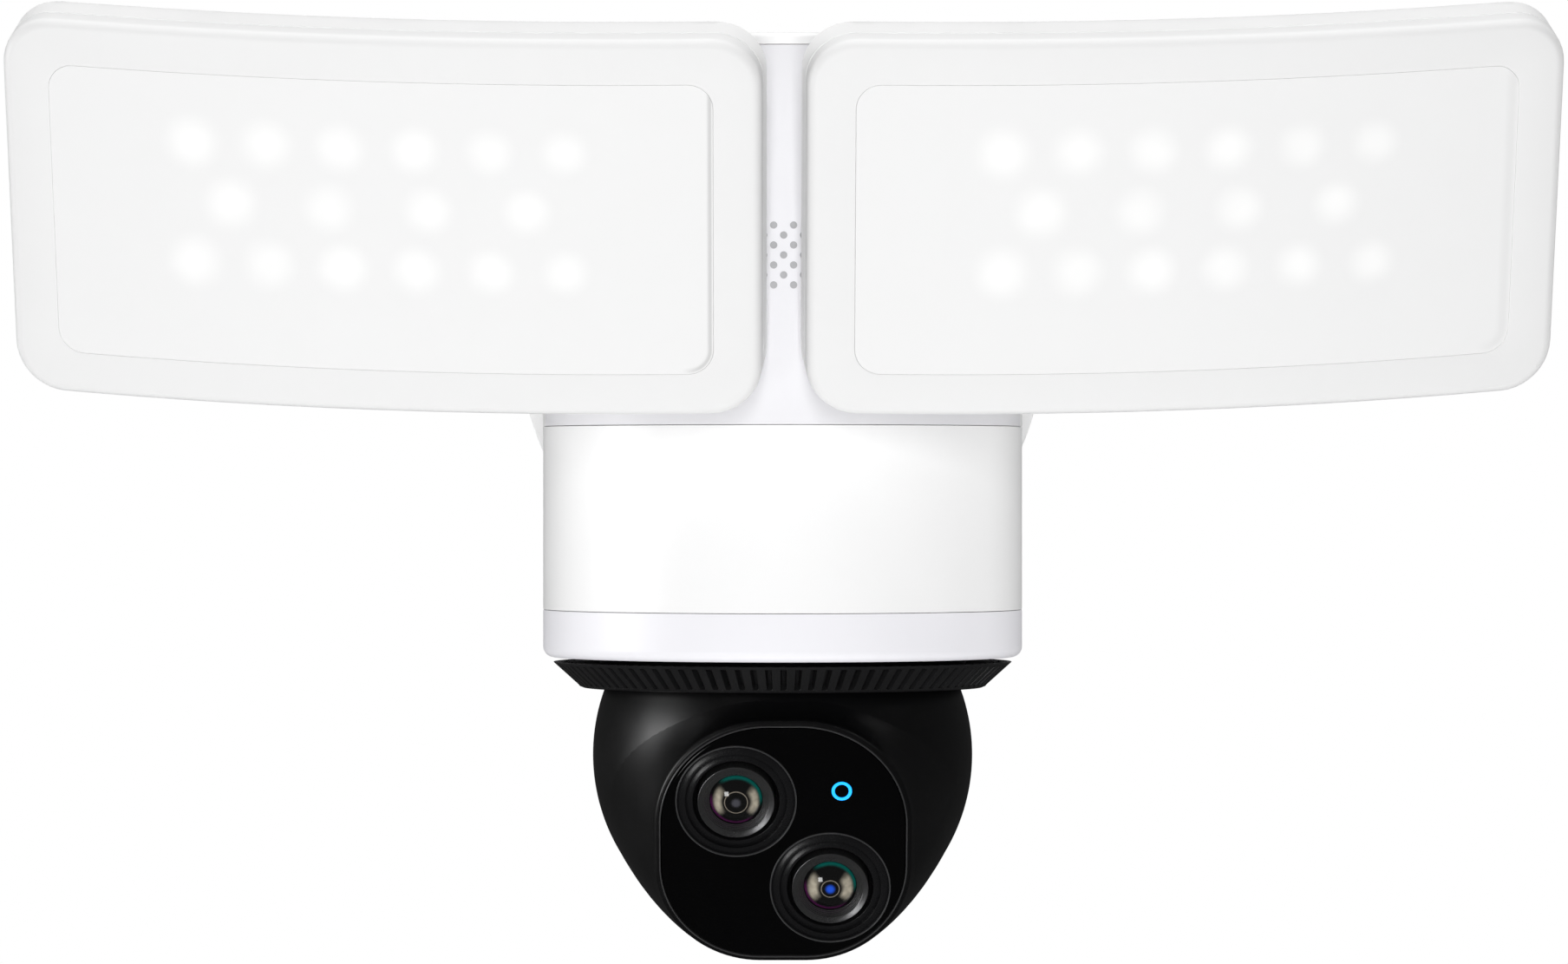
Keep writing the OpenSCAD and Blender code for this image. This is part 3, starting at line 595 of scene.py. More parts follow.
def softened(node, width, segments):
    """A CAD node's shape with its edges broken, as a new mesh."""
    mesh = cad[node].data.copy()
    tidy(mesh, dissolve=0.4)
    return applied(mesh, "BEVEL", width=width * MM, segments=segments, limit_method="ANGLE",
                   angle_limit=math.radians(32.0), harden_normals=False, use_clamp_overlap=True)


def rod(r, length, edge=0.3, steps=48):
    """A cylinder on z from 0, with broken edges."""
    return lathe(fillet([(0, 0, 0), (r, 0, edge), (r, length, edge), (0, length, 0)]), steps)


def slab(w, h, r, z0, z1, edge=0.3):
    """A rounded block on z with broken top edges."""
    rings = [[(x, y, z0) for x, y in rounded_rectangle(w, h, r)]]
    for k in range(5):
        a = math.radians(90 * k / 4)
        inset = edge * (1 - math.cos(a))
        z = z1 - edge + edge * math.sin(a)
        rings.append([(x, y, z) for x, y in rounded_rectangle(w - 2 * inset, h - 2 * inset, r - inset)])
    return loft(rings, caps=True)


# ---------- column ----------

SEAM = 0.2
HALF_GAP = 0.06
HALF_CUT = math.degrees(math.asin((AXIS_Y - SPLIT_Y) / BODY_R))
CUT_GAP = math.degrees(0.12 / BODY_R)


def boss_place(side, x):
    """On a light arm's tilt axis, looking outwards, at a distance from the column's middle."""
    return shift(side * x, SPLIT_Y - AXIS_Y, BOSS_Z) @ turn(90 * side, "Y")


def side_cutter(radius, from_x, to_x):
    """Cylinders across both sides where the light arms' bosses pass."""
    tube = rod(radius, to_x - from_x, 0.0, 96)
    return mesh_of("side_cutter", merge(*(moved(tube, boss_place(side, from_x)) for side in (1, -1))))


def grille_spots():
    """The sound holes' places on the column's front, across and up."""
    spots = []
    for row in range(-3, 4):
        for col in range(-3, 4):
            x = (col + row % 2 / 2) * GRILLE_PITCH
            z = row * GRILLE_PITCH / 2
            if math.hypot(x, z) < GRILLE_REACH:
                spots.append((x, GRILLE_Z + z))
    return spots


def grille_cutter():
    hole = rod(GRILLE_R, 8, 0.0, 24)
    holes = [moved(hole, shift(x, -INNER_R + 3, z) @ turn(90, "X")) for x, z in grille_spots()]
    return mesh_of("grille_cutter", merge(*holes))


def build_sound_mesh():
    """Grey acoustic cloth, seen a little way down each sound hole."""
    disc = rod(GRILLE_R + 0.02, 0.4, 0.05, 24)
    down = 0.75
    discs = []
    for x, z in grille_spots():
        discs.append(moved(disc, shift(x, down - math.sqrt(BODY_R ** 2 - x * x), z) @ turn(90, "X")))
    show("sound_mesh", mesh_of("sound_mesh", merge(*discs)), "base", "speaker_metal", place=COLUMN,
         material=finish_of("sound_mesh"))


def shell_profile(z0, z1):
    """The column's wall between two heights, less half of each seam's gap."""
    low, high = z0 + HALF_GAP, z1 - HALF_GAP
    return fillet([(INNER_R, low, 0), (BODY_R, low, SEAM), (BODY_R, high, SEAM), (INNER_R, high, 0)])


def show_wall(node, mesh, material=None):
    """A finished part of the column's round wall."""
    tidy(mesh)
    exact_normals(stand_for(node, mesh, COLUMN, material=material), (BODY_R, INNER_R), 0.02, 0.99, True)


def build_front_cover():
    """The front half of the column, open at the bosses and with the sound holes."""
    cut = HALF_CUT + CUT_GAP
    half = lathe(shell_profile(COVER_SEAM_Z, CAP_SEAM_Z), 128, 180 + cut, 180 - 2 * cut)
    boss_cutter = side_cutter(BOSS_R + 0.35, INNER_R - 12, BODY_R + 12)
    mesh = combined(mesh_of("front_cover", half), [boss_cutter, grille_cutter()], "DIFFERENCE")
    show_wall("front_cover", mesh, finish_of("cover_white"))


def build_rear_shell():
    """The back half of the column, with the neck to the wall plate and the two bosses."""
    cut = HALF_CUT - CUT_GAP
    half = lathe(shell_profile(COVER_SEAM_Z, CAP_SEAM_Z), 128, -cut, 180 + 2 * cut)
    w, h, mid_z = 64.0, 74.0, 20.0
    plate_y = span("rear_shell")[1].y - AXIS_Y
    rings = []
    for y, grow in ((BODY_R - 24, 0.0), (plate_y - 6, 0.0), (plate_y - 3.2, 0.4), (plate_y - 1.4, 1.5),
                    (plate_y - 0.6, 2.6), (plate_y, 2.9)):
        outline = rounded_rectangle(w + 2 * grow, h + 2 * grow, 14 + grow)
        rings.append([(x, y, mid_z + z) for x, z in outline])
    neck = loft(rings, caps=True)
    root = 4.0
    length = BOSS_END - INNER_R + root
    boss = rod(BOSS_R, length, 0.8, 96)
    spigot = moved(rod(6.0, 14, 0.5, 64), shift(0, 0, length - 3))
    bosses = []
    for side in (1, -1):
        place = boss_place(side, INNER_R - root)
        bosses += [mesh_of("boss", moved(boss, place)), mesh_of("spigot", moved(spigot, place))]
    mesh = combined(mesh_of("rear_shell", half), [mesh_of("neck", neck), *bosses], "UNION")
    show_wall("rear_shell", mesh)


def build_rings():
    """The cap, with a lip that drops into the column, and the trim ring."""
    cap_low, lip_z, lip_r = CAP_SEAM_Z + HALF_GAP, CAP_SEAM_Z - 5, INNER_R - 0.3
    cap = fillet([(0, cap_low, 0), (lip_r - 2, cap_low, 0), (lip_r - 2, lip_z, 0.4), (lip_r, lip_z, 0.4),
                  (lip_r, cap_low, 0), (BODY_R, cap_low, SEAM), (BODY_R, CAP_TOP_Z, 2.4),
                  (0, CAP_TOP_Z, 0)], 9)
    stand_for("top_cap", lathe(cap), COLUMN)
    trim_high, floor_z, bore_r = TRIM_SEAM_Z - HALF_GAP, TRIM_LOW_Z + 2.5, 47.0
    trim = fillet([(bore_r, TRIM_LOW_Z, 0.6), (BODY_R, TRIM_LOW_Z, 2.6), (BODY_R, trim_high, SEAM),
                   (INNER_R, trim_high, 0.2), (INNER_R, floor_z, 0.3), (bore_r, floor_z, 0.6)], 9)
    stand_for("trim_ring", lathe(trim), COLUMN)


# The button and the plug sit on this line of the drum, where x points right, y up and z outwards.
SIDE_ANGLE = 25.0
BUTTON_Z, PLUG_Z = -36.5, -54.0
PORT = COLUMN @ turn(SIDE_ANGLE, "Z") @ shift(BODY_R, 0, BUTTON_Z) @ turn(90, "Z") @ turn(90, "X")
PORT_LOCAL = COLUMN.inverted() @ PORT


def build_drum():
    """The drum, with a chamfered hole for the button and a slot for the plug."""
    drum = mesh_of("lower_shell", lathe(shell_profile(TRIM_SEAM_Z, COVER_SEAM_Z)))
    r, wide_r, flare_z = 3.8, 4.3, 0.3
    button_hole = lathe([(0, -8), (r, -8), (r, -flare_z), (wide_r, flare_z), (wide_r, 3), (0, 3)], 48)
    button_hole = moved(button_hole, PORT_LOCAL)
    plug_hole = moved(slab(17.6, 6.6, 2.0, -8, 4, 0.01), PORT_LOCAL @ shift(0, PLUG_Z - BUTTON_Z, 0))
    holes = [mesh_of("button_hole", button_hole), mesh_of("plug_hole", plug_hole)]
    show_wall("lower_shell", combined(drum, holes, "DIFFERENCE"))


def build_side_controls():
    """The dished button, and the plug with a groove for a fingernail."""
    dished = fillet([(0, -8, 0), (5, -8, 0.3), (5, -5.5, 0.3), (3.5, -5.5, 0), (3.5, -0.4, 0.5),
                     (2.4, -0.4, 0.4), (1.4, -0.75, 0.5), (0, -0.75, 0)])
    stand_for("sync_button", lathe(dished, 64), PORT)
    plug = slab(17, 6, 1.7, -4.8, -0.6, 0.5)
    mesh = mesh_of("card_plug", plug)
    grip = moved(rod(2.2, 12, 0.0, 32), shift(-6, 0, 0.9) @ turn(90, "Y"))
    mesh = combined(mesh, [mesh_of("grip", grip)], "DIFFERENCE")
    tidy(mesh)
    stand_for("card_plug", mesh, PORT @ shift(0, PLUG_Z - BUTTON_Z, 0))


# ---------- wall plate ----------

WALL_PIECES = {
    "wall_plate": (1.6, 4),
    "wall_gasket": (0.4, 2),
    "mounting_bracket": (0.25, 2),
    "cable_grommet": (0.5, 3),
    "plate_nuts": (0.35, 2),
}


def build_wall_plate():
    """The CAD's own shapes, each with its edges broken by a width in a number of steps."""
    for node, (width, segments) in WALL_PIECES.items():
        stand_for(node, softened(node, width, segments))


# ---------- turret ----------

RIBS = 96


def on_circle(r, degrees, z):
    return r * math.cos(math.radians(degrees)), r * math.sin(math.radians(degrees)), z


def build_vent_ring():
    """A cone of fine ribs between two plain rims, with a small bead under each rib."""
    top_r, top_z = 57.2, -80.4
    low_r, low_z = 50.1, -86.8
    bore_r, ledge_z = 45.4, -82.4
    slit_depth = 2.2
    pitch = 360.0 / RIBS
    slit = math.degrees(0.5 / 53.0)
    across = ((-0.5 * pitch, 0.0), (-1.5 * slit, 0.0), (-0.8 * slit, 1.0), (0.8 * slit, 1.0),
              (1.5 * slit, 0.0))
    angles = [(k * pitch + offset, deep) for k in range(RIBS) for offset, deep in across]
    # Each step down the cone has its share of the height, of the slit's depth, and an inset.
    steps = [(0.0, 0.0, -0.1), (0.03, 0.0, 0.0), (0.10, 0.0, 0.0), (0.14, 1.0, 0.0), (0.84, 1.0, 0.0),
             (0.89, 0.0, 0.0), (0.96, 0.0, 0.0), (1.0, 0.0, -0.35)]
    rings = []
    for t, share, inset in steps:
        r = top_r + (low_r - top_r) * t + inset
        z = top_z + (low_z - top_z) * t
        rings.append([on_circle(r - slit_depth * share * deep, a, z + slit_depth / 2 * share * deep)
                      for a, deep in angles])
    for r, z in ((bore_r + 0.5, low_z), (bore_r, low_z + 0.5), (bore_r, ledge_z), (bore_r + 1.8, ledge_z),
                 (bore_r + 1.8, top_z)):
        rings.append([on_circle(r, a, z) for a, _ in angles])
    bead = lathe([(0, 0), (0.34, 0), (0.31, 0.16), (0.2, 0.28), (0, 0.33)], 8)
    bead = moved(bead, shift(low_r + 0.35, 0, low_z + 0.62) @ turn(133, "Y"))
    beads = [moved(bead, turn((k + 0.5) * pitch, "Z")) for k in range(RIBS)]
    stand_for("vent_ring", merge(loft(rings, loop=True), *beads), COLUMN, sharp=28)


# ---------- head ----------

def sphere_arc(r, a0, a1, count):
    """Points (radius, height) along a circle, with angles counted from the pole."""
    angles = [math.radians(a0 + (a1 - a0) * k / count) for k in range(count + 1)]
    return [(r * math.sin(a), r * math.cos(a)) for a in angles]


# The ball's two shells meet in a plane this far behind its centre.
SPLIT = 8.0
OUT_OF_FACE = Matrix.Translation(BALL * MM) @ turn(FACE_TILT, "X") @ turn(90, "X")


def yoke_cutter():
    """Wedges that open the ball for the yoke's two arms, in the ball's own frame."""
    x0, x1 = 32.9, 37.1
    wedge = [(0.0, 0.0)] + [(80 * math.sin(math.radians(a)), 80 * math.cos(math.radians(a)))
                            for a in (-26, 0, 20, 40, 60, 86)]
    parts = []
    for side in (1, -1):
        rings = [[(side * x, y, z) for y, z in wedge] for x in (x0, x1)]
        parts.append(loft(rings, caps=True))
    return merge(*parts)


def build_ball():
    """Two bowls that meet behind the face, open for the face and for the yoke's arms."""
    tilt_in = OUT_OF_FACE.inverted() @ Matrix.Translation(BALL * MM)
    slots = mesh_of("slots", moved(yoke_cutter(), tilt_in))
    opening = slab(FACE_W - 3, FACE_H - 3, FACE_CORNER_TOP - 1.5, 10, 70, 0.01)
    opening = mesh_of("opening", moved(opening, shift(0, -FACE_DROP, 0)))
    inner = BALL_R - BALL_T
    split, inner_split = (math.degrees(math.acos(-SPLIT / r)) for r in (BALL_R, inner))
    gap = 0.12
    front = sphere_arc(BALL_R, 0, split - gap, 72) + sphere_arc(inner, inner_split - gap, 0, 60)
    rear = sphere_arc(BALL_R, split + gap, 180, 48) + sphere_arc(inner, 180, inner_split + gap, 40)
    for node, profile, cutters in (("head_front_shell", front, [opening, slots]),
                                   ("head_rear_shell", rear, [slots])):
        mesh = combined(mesh_of(node, lathe(profile)), cutters, "DIFFERENCE")
        tidy(mesh)
        exact_normals(stand_for(node, mesh, OUT_OF_FACE), (BALL_R, inner), 0.05, 0.98)


def face_ring(grow, d, on_ball=None):
    """One outline round the face, grown by an amount, at distance d from the ball's centre.

    With on_ball, the outline lies that far above the ball's own surface instead.
    """
    points = []
    outline = rounded_rectangle(FACE_W + 2 * grow, FACE_H + 2 * grow,
                                (FACE_CORNER_TOP + grow, FACE_CORNER_LOW + grow), 24, 8, 8)
    for x, z in outline:
        depth = d
        if on_ball is not None:
            r = BALL_R + on_ball
            depth = math.sqrt(max(0.0, r * r - x * x - (z - FACE_DROP) ** 2))
        points.append((x, -depth, z))
    return points


def flare_bend(outline, k, d, slack):
    """The curve of the flare at one point of its outline: where it starts, bends and lands."""
    x, _, z = outline[k]
    back, on = outline[k - 1], outline[(k + 1) % len(outline)]
    normal = Vector((on[2] - back[2], back[0] - on[0])).normalized()
    if normal.dot(Vector((x, z))) < 0:
        normal = -normal
    reach = normal.dot(Vector((x, z - FACE_DROP)))
    lean = math.atan2(d, reach) - math.acos(min(1.0, BALL_R / math.hypot(reach, d)))
    top = min(1.0, max(0.0, (normal.y + 0.25) / 1.2))
    top = top * top * (3 - 2 * top)
    short = math.acos((reach + 3.0) / BALL_R) if reach + 3.0 < BALL_R else lean
    low = (lean - math.radians(7)) * (1 - top) + short * top
    foot = Vector((math.cos(low), math.sin(low))) * (BALL_R - slack)
    start = Vector((reach, d))
    along = Vector((-math.sin(low), math.cos(low)))
    knee = foot + along * (start - foot).dot(along) * 0.55
    slide = Vector((x, z - FACE_DROP)) - normal * reach
    return normal, slide, start, knee, foot


def flare(grow, d, slack, count=14):
    """Rings that bulge from the rim down to the ball, which they touch without a crease.

    At the top, under the vent ring, the flare is short so that the head can tilt up.
    """
    outline = face_ring(grow, d)
    bends = [flare_bend(outline, k, d, slack) for k in range(len(outline))]
    rings = []
    for i in range(count + 1):
        t = i / count
        ring = []
        for normal, slide, start, knee, foot in bends:
            at = start * (1 - t) ** 2 + knee * 2 * t * (1 - t) + foot * t ** 2
            aside = slide * min(1.0, foot.x / start.x) * (1 - t * t)
            ring.append((aside.x + normal.x * at.x, -at.y, FACE_DROP + aside.y + normal.y * at.x))
        rings.append(ring)
    return rings


def build_rim():
    """The rim and the flared skirt round the face, and the bead on the rim's edge, in a lighter grey that is a
    painted highlight.
    """
    out = FACE_OUT
    rings = [face_ring(0.42, out - 3), face_ring(0.42, out - 0.3), face_ring(0.8, out - 0.28),
             face_ring(1.15, out - 0.42), face_ring(1.45, out - 0.75), *flare(1.6, out - 1.2, 0.06)]
    under = 0.975
    rings.append([(x * under, y * under, FACE_DROP + (z - FACE_DROP) * under) for x, y, z in rings[-1]])
    rings.append(face_ring(0.05, 0, on_ball=-1.6))
    stand_for("face_trim", loft(rings, loop=True), FACE, sharp=40, material=finish_of("face_rim"))
    bead = [face_ring(0.03, out - 3), face_ring(0.03, out - 0.1), face_ring(0.1, out),
            face_ring(0.28, out), face_ring(0.39, out - 0.1), face_ring(0.39, out - 3)]
    show("face_edge", mesh_of("face_edge", loft(bead, loop=True)), "head", "face_gloss", place=FACE,
         material=finish_of("painted_highlight_edge"))


def face_hole(name, x, z, r, depth, steps):
    """A cutter that goes into the face from in front."""
    hole = rod(r, 2 * depth, 0.0, steps)
    return mesh_of(name, moved(hole, shift(x, -FACE_OUT + depth, z) @ turn(90, "X")))


def build_face_plate():
    """The glossy face, with holes for the lenses and the ring, and two pin holes."""
    rings = [face_ring(grow, FACE_OUT - back) for grow, back in
             ((-0.25, 3), (-0.2, 0.5), (-0.26, 0.2), (-0.45, 0.05), (-0.8, 0))]
    mesh = mesh_of("face_plate", loft(rings, caps=True))
    hole_r = BEZEL_R + 0.04
    cutters = [face_hole("hole", x, z, r, 6, 128) for x, z, r in
               ((-LENS_X, WIDE_UP, hole_r), (LENS_X, TELE_UP, hole_r), (STATUS_X, STATUS_UP, 2.52))]
    cutters += [face_hole("pin_hole", x, z, 0.22, 1, 16) for x, z in ((-1.0, -0.9), (0.6, -1.0))]
    mesh = combined(mesh, cutters, "DIFFERENCE")
    tidy(mesh)
    stand_for("face_plate", mesh, FACE)


def build_bezel(kind, place):
    """A funnel in two bands, with a bead round its edge in a lighter grey that is a painted highlight."""
    f = FACE_OUT
    bezel = fillet([(9.6, f - 6, 0), (BEZEL_R, f - 6, 0), (BEZEL_R, f - 0.2, 0.05), (14.4, f - 0.2, 0.05),
                    (14.36, f - 0.55, 0.05), (13.9, f - 0.28, 1.2), (13.1, f + 0.02, 1.6),
                    (12.42, f + 0.16, 0.12), (12.36, f - 0.75, 0.05), (11.9, f - 0.5, 1.2),
                    (11.1, f - 0.2, 1.4), (10.55, f - 0.14, 0.25), (10.3, f - 2.0, 0.3),
                    (9.6, f - 3.4, 0)], 12)
    stand_for(kind + "_bezel", lathe(bezel, 160), place, sharp=25)
    inner, low, high = 14.42, f - 0.19, f + 0.3
    bead = fillet([(inner, low, 0), (BEZEL_R, low, 0), (BEZEL_R, high, 0.15), (inner, high, 0.15)])
    name = kind + "_bezel_edge"
    show(name, mesh_of(name, lathe(bead, 160)), "head", "bezel_black", place=place,
         material=finish_of("painted_highlight_edge"))


def build_barrel(kind, place):
    """A barrel whose mouth goes down in five small steps."""
    f = FACE_OUT
    steps = []
    for k in range(5):
        z = f + 0.3 - 0.30 * k
        steps += [(8.05 - 0.32 * k, z, 0.03), (7.85 - 0.32 * k, z, 0.03)]
    barrel = fillet([(0, f - 23, 0), (9.36, f - 23, 0), (9.36, f + 0.72, 0.12), (9.2, f + 0.78, 0.1),
                     (8.12, f + 0.38, 0.08), *steps, (6.6, f - 1.3, 0), (6.58, f - 1.7, 0),
                     (0, f - 1.7, 0)], 20)
    stand_for(kind + "_barrel", lathe(barrel, 128), place, sharp=25)


def build_glass(kind, place, pupil, pupil_r):
    """A domed front element with its own material of painted reflections."""
    dome_r, rim_r, count = 9.6, 6.5, 24
    seat, top = FACE_OUT - 1.6, FACE_OUT + 1.1
    edge = math.asin(rim_r / dome_r)
    profile = [(0.0, seat), (rim_r, seat)]
    for k in range(count + 1):
        a = edge * (1 - k / count)
        profile.append((dome_r * math.sin(a), top - dome_r + dome_r * math.cos(a)))
    painted_glass = glass_with_painted_reflections(kind + "_painted_glass", pupil, pupil_r).material
    stand_for(kind + "_glass", lathe(profile, 96), place, sharp=30, material=painted_glass)


def build_lens(kind, x, up, pupil, pupil_r):
    place = FACE @ shift(x, 0, up) @ turn(90, "X")
    build_bezel(kind, place)
    build_barrel(kind, place)
    build_glass(kind, place, pupil, pupil_r)


def build_status_ring():
    """The light guide, and the black button inside it."""
    place = FACE @ shift(STATUS_X, -FACE_OUT, STATUS_UP) @ turn(90, "X")
    ring = fillet([(1.72, -1.4, 0), (2.48, -1.4, 0), (2.48, 0.05, 0.15), (1.72, 0.05, 0.15)])
    stand_for("status_ring", lathe(ring, 64), place)
    core = fillet([(0, -1.4, 0), (1.68, -1.4, 0), (1.68, 0.0, 0.1), (0, 0.0, 0)])
    show("status_core", mesh_of("status_core", lathe(core, 48)), "head", "face_gloss", place=place)


# ---------- light panels ----------

# Depths and places in a panel's own frame, where y points away from the viewer.
FRAME_DEPTH = 6.05
SHOULDER_AT, SHOULDER_IN = 14.0, 16.0
BACK_DEPTH = 19.5
FIN_PITCH = 12
HINGE_X, HINGE_Y = -17, 34


def panel_ring(w, h, r, depth):
    """An outline on the layer at one depth behind the panel's curved face."""
    curve = FACE_CURVE - depth
    return [(x, FACE_CURVE - math.sqrt(curve * curve - x * x), z)
            for x, z in rounded_rectangle(w, h, r, 10, 28, 10)]


def shrunk(inset, depth, r=PANEL_CORNER):
    """The panel's outline, moved inwards."""
    return panel_ring(PANEL_W - 2 * inset, PANEL_H - 2 * inset, r - inset, depth)


def window_ring(grow, depth):
    """The window's outline, moved outwards."""
    return panel_ring(WINDOW_W + 2 * grow, WINDOW_H + 2 * grow, WINDOW_CORNER + grow, depth)


def mirrored(shape, side):
    """A right-hand shape, or its mirror image for the left."""
    verts, faces = shape
    if side == "right":
        return verts, faces
    return [(-v[0], v[1], v[2]) for v in verts], faces


def build_frame(side, place):
    """The front rim: a fine radius at the window, a full round outside, and a seam behind."""
    lip, rim = 0.25, 2.3
    rings = [window_ring(0, 6), window_ring(0, 1.2)]
    for k in range(5):
        a = math.radians(90 * k / 4)
        rings.append(window_ring(lip * (1 - math.cos(a)), lip * (1 - math.sin(a))))
    for k in range(9):
        a = math.radians(90 * k / 8)
        rings.append(shrunk(rim * (1 - math.sin(a)), rim * (1 - math.cos(a))))
    rings += [shrunk(0, 5.6), shrunk(0.35, FRAME_DEPTH - 0.1)]
    stand_for(side + "_front_frame", mirrored(loft(rings, loop=True), side), place, sharp=40)


def window_sheet(depth, inset):
    """Rings from the window's edge to its middle, on one layer."""
    count = 12
    rings = []
    for k in range(count + 1):
        part = 1 - k / count
        rings.append(panel_ring((WINDOW_W - 2 * inset) * part, (WINDOW_H - 2 * inset) * part,
                                WINDOW_CORNER * part, depth))
    return rings


def build_diffuser(side, place):
    """The window: a sheet flush with the frame, a back, and a flange that the frame holds."""
    flange = [window_ring(2.5, 7.4), window_ring(2.5, FRAME_DEPTH),
              panel_ring(WINDOW_W - 0.05, WINDOW_H - 0.05, WINDOW_CORNER, FRAME_DEPTH)]
    shape = loft([*reversed(window_sheet(3.2, 1.5)), *flange, *window_sheet(0.12, 0.03)])
    # Each window has its own material for its line of painted shade.
    opal = diffuser_material(side + "_window", *WINDOW_EDGE_SHADE[side])
    stand_for(side + "_diffuser", mirrored(shape, side), place, sharp=40, material=opal.material)


def housing_body():
    """The cast back's outside and its pocket for the LED board."""
    w, h, r, floor, ledge = 154, 70, 4, 17.2, 12.5
    rings = []
    for k in range(7):
        outline = rounded_rectangle(w * k / 6, h * k / 6, r * k / 6, 10, 28, 10)
        rings.append([(x, floor, z) for x, z in outline])
    rings += [panel_ring(w, h, r, ledge), shrunk(2.5, ledge), shrunk(2.5, FRAME_DEPTH),
              shrunk(0.35, FRAME_DEPTH), shrunk(0, 6.4), shrunk(0, 12.0), shrunk(0, SHOULDER_AT)]
    for k in range(1, 9):
        a = math.radians(90 * k / 8)
        depth = SHOULDER_AT + (BACK_DEPTH - SHOULDER_AT) * math.sin(a)
        rings.append(shrunk(SHOULDER_IN * (1 - math.cos(a)), depth, PANEL_CORNER + 10))
    back_w, back_h, back_r = PANEL_W - 2 * SHOULDER_IN, PANEL_H - 2 * SHOULDER_IN, 6
    for k in range(1, 9):
        part = 1 - k / 8
        rings.append(panel_ring(back_w * part, back_h * part, back_r * part, BACK_DEPTH))
    return loft(rings)


def housing_fins():
    """Cooling fins across the back, except where the hinge is."""
    fin = slab(2.0, 56, 0.9, 0, 5.4, 0.9)
    fins = []
    for k in range(-5, 6):
        x = k * FIN_PITCH
        if abs(x - HINGE_X) > FIN_PITCH:
            root = FACE_CURVE - math.sqrt((FACE_CURVE - BACK_DEPTH + 1) ** 2 - x ** 2)
            fins.append(moved(fin, shift(x, root, 0) @ turn(-90, "X")))
    return merge(*fins)


def build_housing(side, place):
    """The cast back with its cooling fins, and the bored lug that hangs on the swing pin."""
    lug = moved(rod(7, 24, 0.6, 64), shift(HINGE_X, HINGE_Y, -12 - LUG_DROP))
    web = moved(slab(10, 24, 0.8, 0, 15.5, 0.01), shift(HINGE_X, BACK_DEPTH - 1, -LUG_DROP) @ turn(-90, "X"))
    bore = moved(rod(3.05, 60, 0, 48), shift(HINGE_X, HINGE_Y, -30 - LUG_DROP))

    def side_mesh(name, shape):
        return mesh_of(name, mirrored(shape, side))

    added = [side_mesh("fins", housing_fins()), side_mesh("lug", lug), side_mesh("web", web)]
    mesh = combined(side_mesh("housing", housing_body()), added, "UNION")
    mesh = combined(mesh, [side_mesh("bore", bore)], "DIFFERENCE")
    tidy(mesh)
    stand_for(side + "_housing", mesh, place, sharp=35)


def build_arms():
    for side in ("left", "right"):
        stand_for(side + "_knuckle", softened(side + "_knuckle", 1.0, 3))
        stand_for(side + "_swing_pin", softened(side + "_swing_pin", 0.4, 3))


build_front_cover()
build_sound_mesh()
build_rear_shell()
build_rings()
build_drum()
build_side_controls()
build_wall_plate()
build_vent_ring()
build_ball()
build_rim()
build_face_plate()
build_lens("wide", -LENS_X, WIDE_UP, (0.05, 0.05, 0.06), 2.8)
build_lens("tele", LENS_X, TELE_UP, (0.01, 0.07, 0.55), 2.2)
build_status_ring()
for panel_side, panel_place in PANEL.items():
    build_frame(panel_side, panel_place)
    build_diffuser(panel_side, panel_place)
    build_housing(panel_side, panel_place)
build_arms()


# ---------- stage, light and camera ----------

def build_stage():
    """A plain pale floor, well below the camera's view of the wall-hung object."""
    half, z = 1500, -1250
    floor = mesh_of("floor", ([(-half, -half, z), (half, -half, z), (half, half, z), (-half, half, z)],
                              [(0, 1, 2, 3)]))
    paper = surface("floor_paper", (0.80, 0.80, 0.80), 0.9, grain=3.0, grain_depth=0.02, vary=0.01)
    floor.materials.append(paper.material)
    obj = bpy.data.objects.new("floor", floor)
    bpy.context.scene.collection.objects.link(obj)
    obj.visible_glossy = False


def area_light(name, at, size, power, glossy=True, diffuse=True):
    """A soft box aimed at the object's middle, in metres and watts."""
    aim = Vector((0, -0.08, -0.03))
    light = bpy.data.lights.new(name, "AREA")
    light.shape = "RECTANGLE"
    light.size, light.size_y = size
    light.energy = power
    obj = bpy.data.objects.new(name, light)
    obj.location = at
    obj.rotation_euler = (aim - Vector(at)).to_track_quat("-Z", "Y").to_euler()
    bpy.context.scene.collection.objects.link(obj)
    obj.visible_glossy = glossy
    obj.visible_diffuse = diffuse


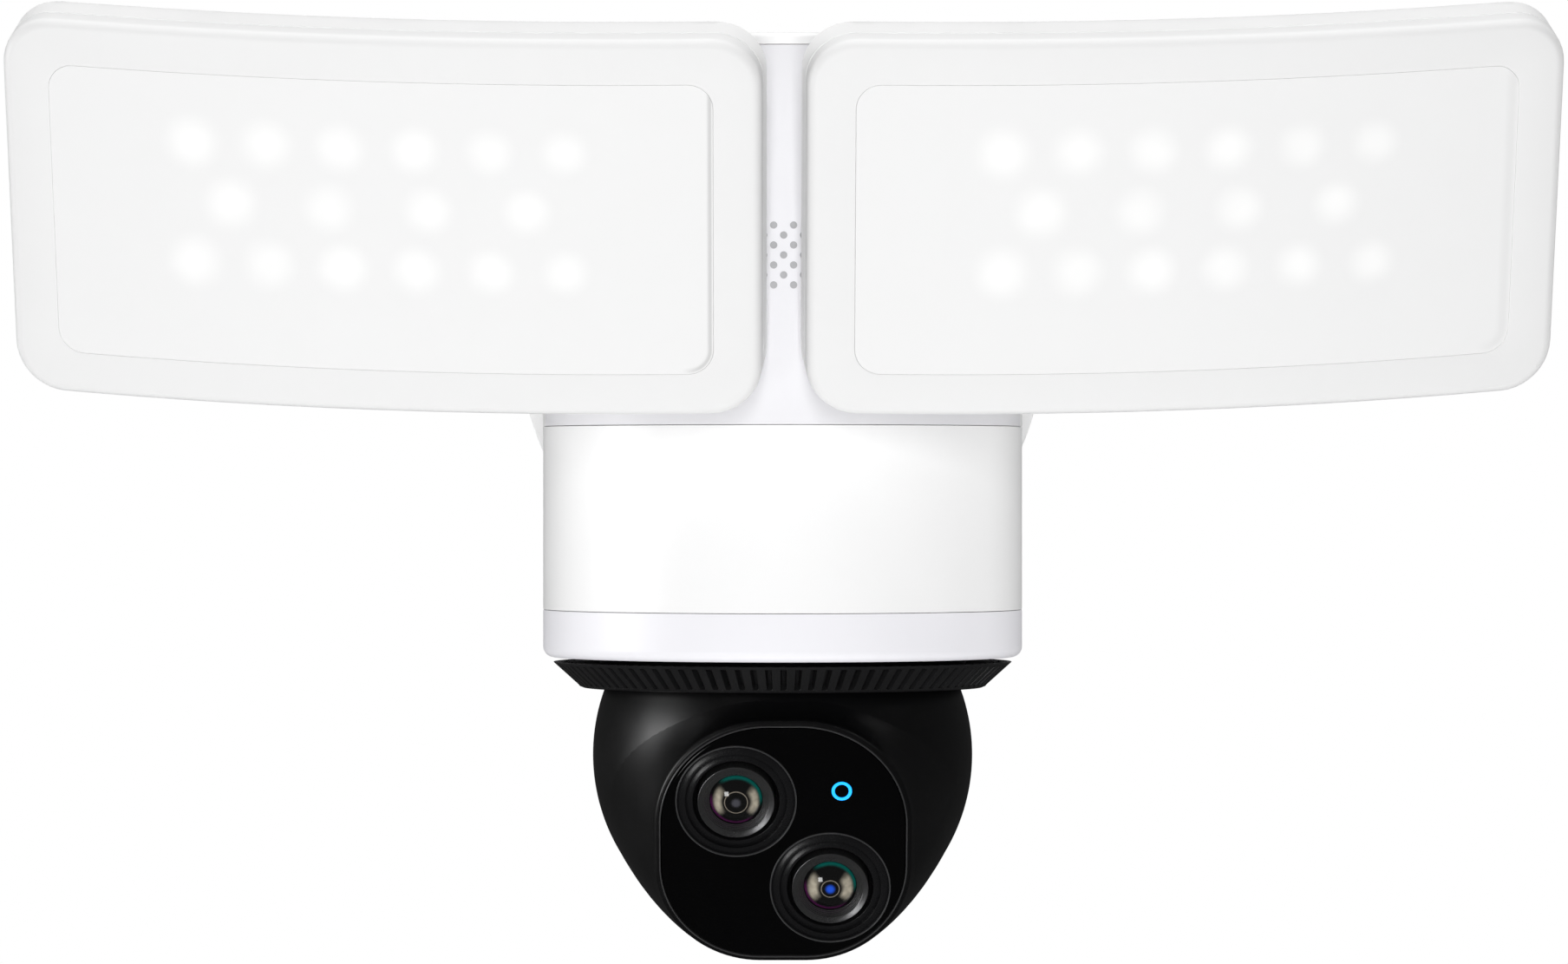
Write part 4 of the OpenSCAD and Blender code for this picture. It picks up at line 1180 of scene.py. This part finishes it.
def build_world():
    """White to the camera, softer to the object, so the studio reads as white without washing it out."""
    world = bpy.data.worlds.new("studio")
    world.use_nodes = True
    tree = world.node_tree
    tree.nodes.clear()
    output = tree.nodes.new("ShaderNodeOutputWorld")
    path = tree.nodes.new("ShaderNodeLightPath")

    def white(level):
        node = tree.nodes.new("ShaderNodeBackground")
        node.inputs["Color"].default_value = (1, 1, 1, 1)
        node.inputs["Strength"].default_value = level
        return node.outputs[0]

    def choose(ray, no, yes):
        node = tree.nodes.new("ShaderNodeMixShader")
        for source, socket in zip((path.outputs[ray], no, yes), node.inputs):
            tree.links.new(source, socket)
        return node.outputs[0]

    lit = choose("Is Glossy Ray", white(0.22), white(0.04))
    tree.links.new(choose("Is Camera Ray", lit, white(1.0)), output.inputs["Surface"])
    bpy.context.scene.world = world


def build_camera():
    """A long lens, level with the middle of the picture and a touch to the left."""
    camera = bpy.data.cameras.new("camera")
    camera.sensor_width = 36.0
    camera.lens = 153.1
    camera.clip_end = 50.0
    obj = bpy.data.objects.new("camera", camera)
    eye = Vector((-0.007, -1.742, -0.0357))
    aim = Vector((0.00035, AXIS_Y * MM, eye.z))
    obj.location = eye
    obj.rotation_euler = (aim - eye).to_track_quat("-Z", "Y").to_euler()
    bpy.context.scene.collection.objects.link(obj)
    bpy.context.scene.camera = obj


build_stage()
build_world()
area_light("front", (0, -2.2, -0.03), (0.3, 1.5), 29.8, glossy=False)
area_light("low_box", (-0.92, -1.75, -0.70), (0.42, 0.42), 3.5)
area_light("side_box", (-1.6, -0.35, -0.05), (0.75, 0.85), 7.5, diffuse=False)
area_light("left_fill", (-1.45, 0.55, 0.0), (0.8, 1.2), 13.0, glossy=False)
area_light("right_fill", (1.35, 0.75, 0.0), (0.8, 1.2), 14.0, glossy=False)
area_light("top", (0, -0.1, 2.0), (1.2, 1.2), 34.0, glossy=False)
area_light("bounce", (0, -0.5, -1.1), (1.4, 1.0), 3.0, glossy=False)
build_camera()
bpy.context.scene.view_settings.view_transform = "Standard"
